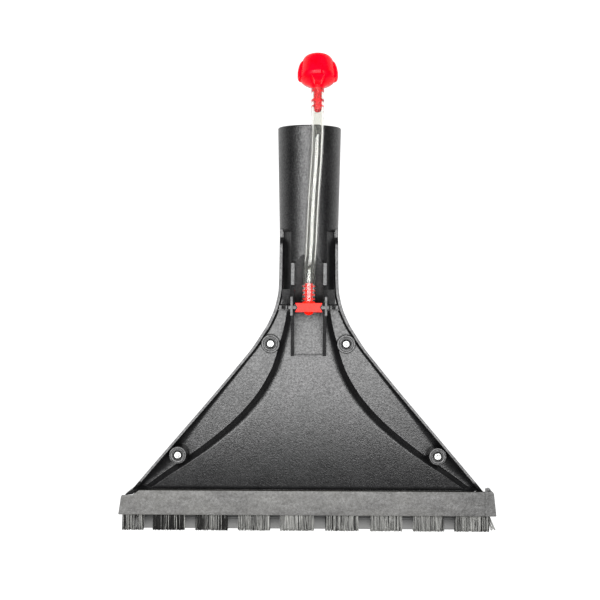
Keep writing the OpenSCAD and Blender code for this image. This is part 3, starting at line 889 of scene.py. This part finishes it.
# %% Fins, pins and the jet's cradle
FIN_X, PIN_HALF = (9.85, 12.2), 1.1
fin_side = [(-17.5, 29.0), (-17.5, 32.6), (11.2, 46.2), (30.7, 36.2), (31.1, 43.2), (31.4, 43.5),
            (46.5, 43.5), (47.6, 41.0), (47.6, 30.0)]
pin = [(8.2, JET_Y - 0.45), (9.4, JET_Y - PIN_HALF), (13.9, JET_Y - PIN_HALF),
       (13.9, JET_Y + PIN_HALF), (9.4, JET_Y + PIN_HALF), (8.2, JET_Y + 0.45)]
side_floor = [(18.3, 25.5), (18.3, 26.1), (28.6, 30.0), (28.6, 25.5)]
extras = []
for side in (1, -1):
    extras.append(prism("fin", fin_side, *on_side(side, *FIN_X), "x", 0.3))
    extras.append(box_piece("rib", on_side(side, 10.9, 12.6), (10.4, 23.4), (31.0, 46.9), 0.3))
    extras.append(prism("pin", [(side * x, y) for x, y in pin], 30.5, 47.0, "z", 0.25))
    extras.append(box_piece("bulkhead", on_side(side, 12.0, 21.6), (JET_Y - 2.0, JET_Y - 1.2),
                            (24.5, 28.6), 0.3))
    for near, far, high in ((14.7, 15.8, 40.5), (18.6, 20.6, 29.4)):
        extras.append(box_piece("block", on_side(side, near, far), (JET_Y - 1.3, JET_Y + 1.3),
                                (25.0, high), 0.3))
pocket_floor = [(JET_Y - 2.0, 27.2), (JET_Y - 2.0, 28.2), (JET_Y + 2.0, 28.2), (29.5, 32.7),
                (29.5, 27.2)]
extras.append(prism("pocket_floor", pocket_floor, -9.95, 9.95, "x"))
for side in (1, -1):
    extras.append(prism("side_floor", side_floor, side * 15.4 - 3.0, side * 15.4 + 2.8, "x"))
cradle = box_piece("cradle", (-10.2, 10.2), (JET_Y - 2.2, JET_Y + 2.2), (27.8, 39.9), 0.3)
seat = lathe("seat", [(JET_Y - 4, 0), (JET_Y - 4, 4.9), (JET_Y + 4, 4.9), (JET_Y + 4, 0)],
             along_neck, 48)
extras.append(cut_away(cradle, [seat]))
ramp_side = [(JET_Y - 1.0, 29.0)] + bend((JET_Y - 1.0, 34.2), (11.0, 31.5), (0.5, 31.02), 12)
ramp_side += [(0.5, 29.0)]
extras.append(prism("ramp", ramp_side, -9.95, 9.95, "x"))
spray_line = [(-16.8, 30.6), (-16.8, 30.98), (-16.35, 31.14), (-15.9, 30.98), (-15.9, 30.6)]
extras.append(prism("spray_line", spray_line, -9.6, 9.6, "x"))
print(len(extras), "parts for the jet's holder")

# %% [markdown]
# ### Posts
#
# Four round posts take the screws. They all end at one height, so the two near the mouth, where
# the wings lie lower, are taller, and their draft makes them a little wider at the foot.

# %% Posts, and the shell in one skin
POSTS = [(26.3, -9.3), (-26.3, -9.3), (90.3, -87.0), (-90.3, -87.0)]
POST_TOP, HEAD_SEAT, POST_R = 29.0, 27.3, 6.5
for x, y in POSTS:
    wing = wing_level(y)
    tall = POST_TOP - wing
    foot_r, top_r = POST_R + 0.065 * tall, POST_R - 0.04 * tall
    profile = [(wing - 2.0, 0.0), (wing - 2.0, foot_r), (wing, foot_r),
               (POST_TOP - 0.45, top_r + 0.05), (POST_TOP - 0.12, top_r - 0.1),
               (POST_TOP, top_r - 0.4), (POST_TOP, 0.0)]
    extras.append(lathe("post", profile, Matrix.Translation((x, y, 0)), 64))
front = join_all(front, [neck] + extras, 30.0)
print("front shell joined:", len(front.data.polygons), "faces")

# %% [markdown]
# ### The mouth
#
# At the mouth the shell ends in a lip that the brush bar grips. The rims run out over the bar's
# corners in two wedges, of which the left one reaches further, and a low sill closes each corner.

# %% Lip and corners of the mouth
LIP_Y, LIP_HALF, LIP_LEG = -121.0, 113.8, 3.0


def lip_frame(parting, outer_z, inner_z):
    """The outline of a lip: a flat channel that is open towards the parting plane."""
    leg = LIP_HALF - LIP_LEG
    return [(-LIP_HALF, parting), (-LIP_HALF, outer_z), (LIP_HALF, outer_z), (LIP_HALF, parting),
            (leg, parting), (leg, inner_z), (-leg, inner_z), (-leg, parting)]


lip = prism("lip", lip_frame(5.15, 13.6, 11.0), LIP_Y, MOUTH_Y + 0.6, "y", 0.3)
sill = [(-112.46, 6.0), (-112.46, 16.4), (-110.4, 12.8), (-110.4, 6.0)]
corners = []
for side, tip_x, tip_high, tip_y in ((1, 126.4, 16.6, -115.75), (-1, 127.8, 19.4, -116.7)):
    rim_end = []
    for y, a, b, high in ((MOUTH_Y + 0.4, 117.5, 122.9, 17.2), (-115.7, 122.7, tip_x, tip_high),
                          (tip_y, 123.4, tip_x, tip_high - 5.0)):
        wedge = [(a, 5.1), (b, 5.1), (b, high), (b - 0.6, high), (a, high - 2.8)]
        rim_end.append([(side * x, y, z) for x, z in wedge])
    corners.append(loft("rim_end", rim_end))
    corners.append(prism("sill", sill, *on_side(side, 109.6, 121.0), "x"))
front = join_all(front, [lip] + corners, 30.0)
print("mouth made")

# %% [markdown]
# ### Holes
#
# Last come the holes: the socket for the wand, the throat below it, the way of the air from the
# flat duct up into the throat, and the screw holes with a shallow ring round each head.


# %% Holes of the front shell
def rounded_box(half, low, high, radius, y, per_corner=8):
    """A rounded rectangle in a plane across the neck, going once round."""
    radius = min(radius, half - 1e-3, (high - low) / 2 - 1e-3)
    ring = []
    for cx, cz, start in ((half - radius, high - radius, 0), (-half + radius, high - radius, 90),
                          (-half + radius, low + radius, 180), (half - radius, low + radius, 270)):
        for k in range(per_corner + 1):
            a = math.radians(start + 90 * k / per_corner)
            ring.append((cx + radius * math.cos(a), y, cz + radius * math.sin(a)))
    return ring


WAND_R, WAY_R = 17.6, 15.1
SOCKET_FOOT, WAY_STEPS = 76.0, 8
holes = [lathe("wand_socket", [(SOCKET_FOOT, 0), (SOCKET_FOOT, WAND_R), (NECK_END - EDGE, WAND_R),
                               (NECK_END + 0.01, 18.3), (NECK_END + 2, 18.3), (NECK_END + 2, 0)],
               neck_axis, 128),
         lathe("throat", [(49.0, 0), (49.0, WAY_R), (77.0, WAY_R), (77.0, 0)], neck_axis, 96)]
duct_way = []
for k in range(WAY_STEPS + 1):
    t = k / WAY_STEPS
    duct_way.append(rounded_box(12.4 + 2.6 * t, 4.6 + 2.3 * t, 27.0 + 10.0 * max(0, t * 2 - 1),
                                2.5 + 12.5 * t, 26.0 + 24.0 * t))
holes.append(loft("duct_way", duct_way, 30.0))
for x, y in POSTS:
    profile = [(0.0, 0.0), (0.0, 3.4), (22.3, 3.4), (22.3, 2.2), (HEAD_SEAT, 2.2),
               (HEAD_SEAT, 3.7), (POST_TOP - 0.8, 3.75), (POST_TOP - 0.6, 3.95),
               (POST_TOP - 0.46, 4.8), (POST_TOP - 0.05, 5.15), (POST_TOP + 0.02, 5.2), (60, 5.2),
               (60, 0)]
    holes.append(lathe("screw_hole", profile, Matrix.Translation((x, y, 0)), 48))
front = cut_away(front, holes, 30.0)
finish_piece(front, "head", black_shell, "black_plastic", "front_shell")

# %% [markdown]
# ## The screws
#
# Four pan heads hold the shells together. A head is turned, but its recess has six lobes, so the
# rings in the middle of the head are wavy. Each ring has the same number of points, which lets one
# loft make the whole screw.

# %% Screws
SCREW_POINTS, TURNS, PITCH, SPIN_DEG = 48, 20, 0.6, 23
head_rings = [(-16.0, 0.02, 0), (-16.0, 0.7, 0), (-13.5, 1.75, 0)]
for k in range(TURNS):
    z = -13.2 + k * PITCH
    head_rings += [(z, 1.9, 0), (z + 0.25, 1.5, 0)]
head_rings += [(-0.6, 1.9, 0), (0.0, 1.95, 0), (0.02, 3.15, 0), (0.2, 3.3, 0), (1.0, 3.3, 0),
               (1.35, 3.2, 0), (1.75, 2.9, 0), (2.05, 2.45, 0), (2.2, 2.0, 0.0), (2.2, 1.5, 0.3),
               (2.1, 1.42, 0.3), (0.7, 1.38, 0.3), (0.55, 0.9, 0.15), (0.45, 0.02, 0)]
for index, (x, y) in enumerate(POSTS):
    place = Matrix.Translation((x, y, HEAD_SEAT))
    spin = Matrix.Rotation(math.radians(SPIN_DEG * index), 4, "Z")
    rings = [[tuple(place @ (spin @ Vector(p))) for p in turn(r, SCREW_POINTS, z, wave)]
             for z, r, wave in head_rings]
    screw = loft("shell_screw_" + str(index + 1), rings, 35.0)
    nodes = ("shell_screws",) if index == 0 else ()
    finish_piece(screw, "head", bright_zinc, "zinc_steel", *nodes)

# %% [markdown]
# ## The rear shell and its seals
#
# The rear shell is a shallow tray with a flange. Its back is flat, its sides follow the flare of
# the duct, and near the neck its section turns from a box into a half circle. It is lofted in the
# same way as the front.


# %% Rear shell
BACK_Z, REAR_WALL, PARTING_GAP = 2.0, 2.5, 0.1
FLANGE_END_Y, REAR_END_Y = 14.0, 49.9


def rear_half_section(y):
    """The right half of the rear shell's section: over the flange and back through the tray."""
    t = min(max((y - 30) / 19.0, 0.0), 1.0)
    t = t * t * (3 - 2 * t)
    side = foot_half(y) if y < 12 else max(foot_half(y), 15.0)
    side = side * (1 - t) + NECK_LOW_R * t
    corner = 2.6 * (1 - t) + 19.6 * t
    level = wing_level(y) - WALL - PARTING_GAP
    past = min(max((y - FLANGE_END_Y) / 5, 0.0), 1.0)
    under_rim = rim_half(min(y, FLANGE_END_Y)) - 3.2
    flange = max(side + 0.1, under_rim * (1 - past) + side * past)
    back = BACK_Z
    corner = min(corner, level - 3.2 - back)
    points = [(0.0, back), ((side - corner) * 0.5, back)]
    for k in range(7):
        a = math.radians(90 * k / 6)
        points.append((side - corner + corner * math.sin(a), back + corner - corner * math.cos(a)))
    points += [(side, level - 2.75), (side + 0.08, level - 2.45), (flange - 0.06, level - 2.4),
               (flange, level - 2.1), (flange, level - 0.3), (flange - 0.05, level)]
    inner, floor = side - REAR_WALL, back + REAR_WALL
    inner_corner = max(corner - REAR_WALL, 0.6)
    points += [(inner, level), (inner, floor + inner_corner)]
    for k in range(1, 5):
        a = math.radians(90 - 90 * k / 4)
        points.append((inner - inner_corner + inner_corner * math.sin(a),
                       floor + inner_corner - inner_corner * math.cos(a)))
    points += [((inner - inner_corner) * 0.5, floor), (0.0, floor)]
    return points


rear_stations = [MOUTH_Y]
while rear_stations[-1] < REAR_END_Y:
    rear_stations.append(min(rear_stations[-1] + 2.0, REAR_END_Y))
rear = loft("rear_shell_moulding",
            [whole_section(y, rear_half_section(y)) for y in rear_stations], 30.0)
rear_parts = [prism("rear_lip", lip_frame(5.0, BACK_Z, 4.5), LIP_Y, MOUTH_Y + 0.5, "y", 0.2)]
BOSS_R, PILOT_R = 3.2, 1.6
pilots = []
for x, y in POSTS:
    low = 8.0 if y > -40 else 3.0
    boss = [(low, 0.0), (low, BOSS_R - 0.3), (low + 0.3, BOSS_R), (22.0, BOSS_R), (22.0, 0.0)]
    pilot = [(low + 2, 0), (low + 2, PILOT_R), (40, PILOT_R), (40, 0)]
    rear_parts.append(lathe("rear_post", boss, Matrix.Translation((x, y, 0)), 40))
    pilots.append(lathe("pilot", pilot, Matrix.Translation((x, y, 0)), 24))
rear = join_all(rear, rear_parts, 30.0)
rear = cut_away(rear, pilots, 30.0)
finish_piece(rear, "head", black_shell, "black_plastic", "rear_shell")

# %% [markdown]
# A soft strip lies between the shells on either side of the duct. It follows the foot of the
# duct's slope, so its sections are set beside that line.

# %% Duct seals
SEAL_FROM_Y, SEAL_TO_Y, SEAL_STEP = -108.5, 12.5, 2.0
for side, name in ((1, "right"), (-1, "left")):
    sections = []
    y = SEAL_FROM_Y
    while y < SEAL_TO_Y:
        level = wing_level(y) - WALL - 0.06
        a, b = foot_half(y) + 0.75, foot_half(y) + 2.65
        ring = [(a, level - 0.3), (a + 0.3, level), (b - 0.3, level), (b, level - 0.3),
                (b, level - 1.1), (b - 0.2, level - 1.35), (a + 0.2, level - 1.35),
                (a, level - 1.1)]
        sections.append([(side * px, y, pz) for px, pz in ring])
        y += SEAL_STEP
    seal = loft("duct_edge_seal_" + name, sections, 40.0)
    finish_piece(seal, "head", seal_rubber, "black_rubber", "duct_seal_" + name)

# %% [markdown]
# ## The brush bar
#
# The bar is a grey rail with a slot that grips the mouth of the shells. Behind the bristles a long
# slit lets the dirty water through. The rail starts as a block with rounded edges, and the slots
# are cut out of it. Two caps close its ends, and their outer faces lean in towards the top.

# %% Brush bar
BAR_HALF = rail_high[0]
CAP_HALF = place_of("bar_end_right")[1][0]
TIP_Y = place_of("tuft_1")[0][1]
LEFT_STEP_Y, FAR = -115.9, -90.0  # the left end's notch, and a place well behind the bar
CLIP_X, CLIP_Z, FIT = (127.0, 129.0), (6.0, 14.0), 0.1


def tuft_place(index):
    """The corners of a block. The blocks on the left stand up to a millimetre further out."""
    low, high = place_of("tuft_" + str(index))
    for corner in (low, high):
        corner[0] -= (125.0 - corner[0]) / 250.0
    return low, high


tufts = [tuft_place(i) for i in range(1, 10)]


def bar_profile(top_y):
    """The bar's section across its length, as (y, z) pairs: its front is faintly crowned."""
    points = [(BAR_LOW_Y, 0.0), (BAR_LOW_Y, BAR_FRONT - 0.25)]
    for k in range(9):
        t = k / 8
        crown = 0.22 * (1 - (2 * t - 1) ** 2)
        points.append((BAR_LOW_Y + 0.3 + (top_y - BAR_LOW_Y - 0.6) * t, BAR_FRONT - 0.22 + crown))
    points += [(top_y, BAR_FRONT - 0.35), (top_y, 0.0)]
    return points


rail = prism("bar_rail_moulding", bar_profile(BAR_TOP_Y), -BAR_HALF, BAR_HALF, "x")
round_edges(rail, 0.35, 2, 50.0)


def bar_slots():
    """What is cut out of the rail and its caps: tuft holes, the blade's groove and the notches."""
    slots = []
    for low, high in tufts:
        slots.append(box_piece("tuft_hole", (low[0] - 0.05, high[0] + 0.05),
                               (TIP_Y, high[1]), (low[2] - 0.05, high[2] + 0.05)))
    slots.append(box_piece("blade_groove", (-120.05, 120.05), (TIP_Y, BAR_LOW_Y + 3.6),
                           (2.15, 4.05)))
    notch = [(-140, LEFT_STEP_Y), (-122.5, LEFT_STEP_Y), (-117.5, MOUTH_Y), (-117.5, -100),
             (-140, -100)]
    slots.append(prism("left_notch", notch, -1, 60))
    lean = [(-115.8, BAR_FRONT + 0.5), (-119.9, -1.0), (-100.0, -1.0), (-100.0, BAR_FRONT + 0.5)]
    slots.append(prism("left_lean", lean, -140.0, -122.4, "x"))
    slots.append(box_piece("right_relief", (117, 127), (-116, -100), (-1, 17.2)))
    return slots


rail = cut_away(rail, [
    box_piece("lip_slot", (-LIP_HALF - 0.4, LIP_HALF + 0.4), (LIP_Y - 0.4, FAR), (1.7, 14.0)),
    box_piece("suction_slit", (-112, 112), (BAR_LOW_Y - 2, FAR), (5.2, 10.8)),
    *bar_slots()])
finish_piece(rail, "brush_bar", grey_bar, "grey_plastic", "bar_rail")

# %% [markdown]
# The caps close the rail's ends. On the right the joint shows as a fine line, and on the left the
# cap laps over the rail. A clip in a pocket of each cap snaps on the mouth of the shells. The
# right one is longer, and its end stands up from the bar.

# %% Caps and clips
for side, name, top_y, inner in ((1, "right", BAR_TOP_Y, BAR_HALF + 0.02),
                                 (-1, "left", LEFT_STEP_Y, BAR_HALF - 0.6)):
    outline = [(inner, BAR_LOW_Y), (CAP_HALF - 0.3, BAR_LOW_Y), (CAP_HALF, BAR_LOW_Y + 0.4),
               (CAP_HALF - 1.7, top_y - 1.6), (CAP_HALF - 2.1, top_y - 0.6),
               (CAP_HALF - 3.0, top_y), (inner, top_y)]
    cap = prism("bar_cap_" + name, [(side * x, y) for x, y in outline], 0.0, BAR_FRONT, "z", 0.25)
    pocket = box_piece("clip_pocket", on_side(side, CLIP_X[0] - FIT, CLIP_X[1] + FIT),
                       (LIP_Y - FIT, FAR), (CLIP_Z[0] - FIT, CLIP_Z[1] + FIT))
    cap = cut_away(cap, bar_slots() + [pocket])
    finish_piece(cap, "brush_bar", grey_bar, "grey_plastic", "bar_end_" + name)

right_clip_end, left_clip_end = place_of("bar_clips")[1][1], -119.0
clip_right = box_piece("bar_clip_right", on_side(1, *CLIP_X), (LIP_Y, right_clip_end), CLIP_Z, 0.5)
finish_piece(clip_right, "brush_bar", black_shell, "black_plastic", "bar_clips")
clip_left = box_piece("bar_clip_left", on_side(-1, *CLIP_X), (LIP_Y, left_clip_end), CLIP_Z, 0.4)
finish_piece(clip_left, "brush_bar", black_shell, "black_plastic")

# %% [markdown]
# The blade stands behind the bristles and reaches a little past their tips. Its strip has a bead
# where it leaves the bar and thins to a soft edge.

# %% Squeegee blade
blade_low, blade_high = place_of("squeegee_blade")
EDGE_Y, BEAD_Y = TIP_Y - 0.7, BAR_LOW_Y - 4.9
blade_side = [(blade_high[1], 2.2), (blade_high[1], 4.0), (BEAD_Y + 2.6, 4.0),
              (BEAD_Y + 2.3, 3.5), (BEAD_Y + 1.6, 3.4), (BEAD_Y + 1.2, 4.0), (BEAD_Y + 0.4, 4.0),
              (BEAD_Y, 3.45), (EDGE_Y + 1.0, 3.3), (EDGE_Y, 3.0), (EDGE_Y, 2.7),
              (EDGE_Y + 1.0, 2.35), (BAR_LOW_Y, 2.2)]
blade = prism("squeegee_strip", blade_side, blade_low[0], blade_high[0], "x", 0.12)
finish_piece(blade, "brush_bar", blade_rubber, "grey_rubber", "squeegee_blade")

# %% [markdown]
# ## The bristles
#
# A tuft block is a row of some hundreds of nylon bristles, black ones and clear ones mixed. Each
# bristle is a thin tapered tube with a slight lean of its own, and they are cut off nearly level.
# One mesh holds the bristles of one block, with the two nylons as its two materials. At the right
# end a few bent ones stick out sideways.

# %% Bristles
random.seed(11)
BRISTLE_R, BRISTLE_SIDES, BRISTLE_STEPS = 0.21, 5, 4
ROWS, PITCH_X, MARGIN, ROOT_DEPTH = 6, 0.46, 0.35, 1.5
LOOSE_SHARE, LOOSE_LEAN, PLAIN_LEAN, SPLAY, UNEVEN = 0.12, 1.3, 0.3, 0.5, 0.9
STRAYS = 16
BLACK, CLEAR = 0, 1
# How many bristles are black at points spread evenly along each block, from left to right.
DARK_SHARE = [(0.7, 0.5), (0.9, 0.8), (0.85, 0.5, 0.85), (0.12, 0.4, 0.2), (0.06, 0.12),
              (0.4, 0.15), (0.1, 0.18), (0.15, 0.1, 0.35), (0.5, 0.12, 0.2, 0.8)]


def share_at(shares, t):
    """How many of the bristles are black at a point t along the block, from 0 to 1."""
    at = t * (len(shares) - 1)
    i = min(int(at), len(shares) - 2)
    return shares[i] + (shares[i + 1] - shares[i]) * (at - i)


def bristle(points, faces, kinds, root, tip, kind):
    """Adds one bristle as a thin tube with a slight bow."""
    start = len(points)
    bow = Vector((random.uniform(-0.25, 0.25), 0, random.uniform(-0.2, 0.2)))
    for i in range(BRISTLE_STEPS + 1):
        t = i / BRISTLE_STEPS
        centre = root.lerp(tip, t) + bow * (4 * t * (1 - t))
        r = BRISTLE_R * (1.0 - 0.15 * t)
        for k in range(BRISTLE_SIDES):
            a = 2 * math.pi * k / BRISTLE_SIDES
            points.append((centre.x + r * math.cos(a), centre.y, centre.z + r * math.sin(a)))
    for i in range(BRISTLE_STEPS):
        a, b = start + i * BRISTLE_SIDES, start + (i + 1) * BRISTLE_SIDES
        for k in range(BRISTLE_SIDES):
            j = (k + 1) % BRISTLE_SIDES
            faces.append((a + k, a + j, b + j, b + k))
    end = start + BRISTLE_STEPS * BRISTLE_SIDES
    faces.append(tuple(start + k for k in range(BRISTLE_SIDES)))
    faces.append(tuple(end + k for k in reversed(range(BRISTLE_SIDES))))
    kinds.extend([kind] * (BRISTLE_STEPS * BRISTLE_SIDES + 2))


for index, (low, high) in enumerate(tufts):
    points, faces, kinds = [], [], []
    width = high[0] - low[0]
    columns = int(width / PITCH_X)
    for row in range(ROWS):
        z = low[2] + 0.5 + row * (high[2] - low[2] - 1.0) / (ROWS - 1)
        for column in range(columns):
            t = (column + 0.5 + random.uniform(-0.3, 0.3)) / columns
            dark = random.random() < share_at(DARK_SHARE[index], t)
            x = low[0] + MARGIN + t * (width - 2 * MARGIN)
            loose = LOOSE_LEAN if random.random() < LOOSE_SHARE else PLAIN_LEAN
            lean = (t - 0.5) * random.uniform(0.0, SPLAY) + random.uniform(-loose, loose)
            root = Vector((x, BAR_LOW_Y + ROOT_DEPTH, z + random.uniform(-0.3, 0.3)))
            tip = Vector((min(max(x + lean, low[0] - 0.4), high[0] + 0.4),
                          TIP_Y + 0.05 + UNEVEN * random.random() ** 2,
                          z + random.uniform(-0.45, 0.45)))
            bristle(points, faces, kinds, root, tip, BLACK if dark else CLEAR)
    if index == len(tufts) - 1:
        for stray in range(STRAYS):
            x = high[0] - 0.6 - 0.12 * stray
            root = Vector((x, BAR_LOW_Y + ROOT_DEPTH, 15.5 + random.uniform(-1.5, 1.5)))
            tip = Vector((high[0] + random.uniform(0.8, 4.8), TIP_Y + random.uniform(0.6, 3.2),
                          16.0 + random.uniform(-1.5, 1.5)))
            bristle(points, faces, kinds, root, tip, CLEAR)
    mesh = bpy.data.meshes.new("tuft_bristles_" + str(index + 1))
    mesh.from_pydata([tuple(c * MM for c in p) for p in points], [], faces)
    for nylon in (black_nylon, clear_nylon):
        mesh.materials.append(nylon)
    mesh.polygons.foreach_set("material_index", kinds)
    mesh.polygons.foreach_set("use_smooth", [True] * len(faces))
    tuft = bpy.data.objects.new("tuft_bristles_" + str(index + 1), mesh)
    bpy.context.scene.collection.objects.link(tuft)
    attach(tuft, "brush_bar")
    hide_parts("tuft_" + str(index + 1))
    print(tuft.name, "has", len(faces) // (BRISTLE_STEPS * BRISTLE_SIDES + 2), "bristles")

# %% [markdown]
# ## Table and light
#
# The table is a sheet of white opal acrylic, lit from below, which keeps shadows away. One large
# soft box hangs above the camera. A nearly black moulding shows the soft box as a sheen wherever
# it faces up, and goes dark as soon as it turns away.

# %% Table
TABLE_HALF, TABLE_Z = 2.5, -0.0004  # metres
TABLE_GLOW, GLOW_FAR, GLOW_FROM, GLOW_TO = 1.04, 0.25, 0.34, 0.60
table_mesh = bpy.data.meshes.new("table")
table_mesh.from_pydata([(x * TABLE_HALF, y * TABLE_HALF, TABLE_Z)
                        for x, y in ((-1, -1), (1, -1), (1, 1), (-1, 1))], [], [(0, 1, 2, 3)])
table_top = bpy.data.objects.new("table", table_mesh)
bpy.context.scene.collection.objects.link(table_top)
opal, shader = new_finish("opal_table", (0.05, 0.05, 0.05), 0.7, Emission_Strength=TABLE_GLOW,
                          Emission_Color=(1.0, 1.0, 1.0, 1.0))
where = opal.node_tree.nodes.new("ShaderNodeTexCoord")
from_middle = opal.node_tree.nodes.new("ShaderNodeVectorMath")
from_middle.operation = "LENGTH"
opal.node_tree.links.new(where.outputs["Object"], from_middle.inputs[0])
glow = spread(opal, from_middle.outputs["Value"], TABLE_GLOW, GLOW_FAR, GLOW_FROM, GLOW_TO)
wire(opal, glow, shader, "Emission Strength")
wire(opal, spread(opal, noise(opal, 40.0, detail=2.0), 0.6, 0.8), shader, "Roughness")
table_mesh.materials.append(opal)
print("table is", 2 * TABLE_HALF, "m wide")

# %% [markdown]
# The soft box hangs flat above everything, a little to the left, so that the sheen is stronger on
# that side. The room itself gives almost nothing.

# %% Light
BOX_SIZE, BOX_WATTS, BOX_PLACE = (1.6, 1.2), 62.0, (-0.07, 0.0, 1.25)
soft_box = bpy.data.lights.new("soft_box", "AREA")
soft_box.shape = "RECTANGLE"
soft_box.size, soft_box.size_y = BOX_SIZE
soft_box.energy = BOX_WATTS
lamp = bpy.data.objects.new("soft_box", soft_box)
lamp.location = BOX_PLACE
bpy.context.scene.collection.objects.link(lamp)

world = bpy.data.worlds.new("studio")
world.use_nodes = True
backdrop = world.node_tree.nodes["Background"]
backdrop.inputs["Color"].default_value = (0.85, 0.87, 0.9, 1.0)
backdrop.inputs["Strength"].default_value = 0.02
bpy.context.scene.world = world
bpy.context.scene.view_settings.view_transform = "Standard"
print("one soft box of", BOX_SIZE[0], "by", BOX_SIZE[1], "m")
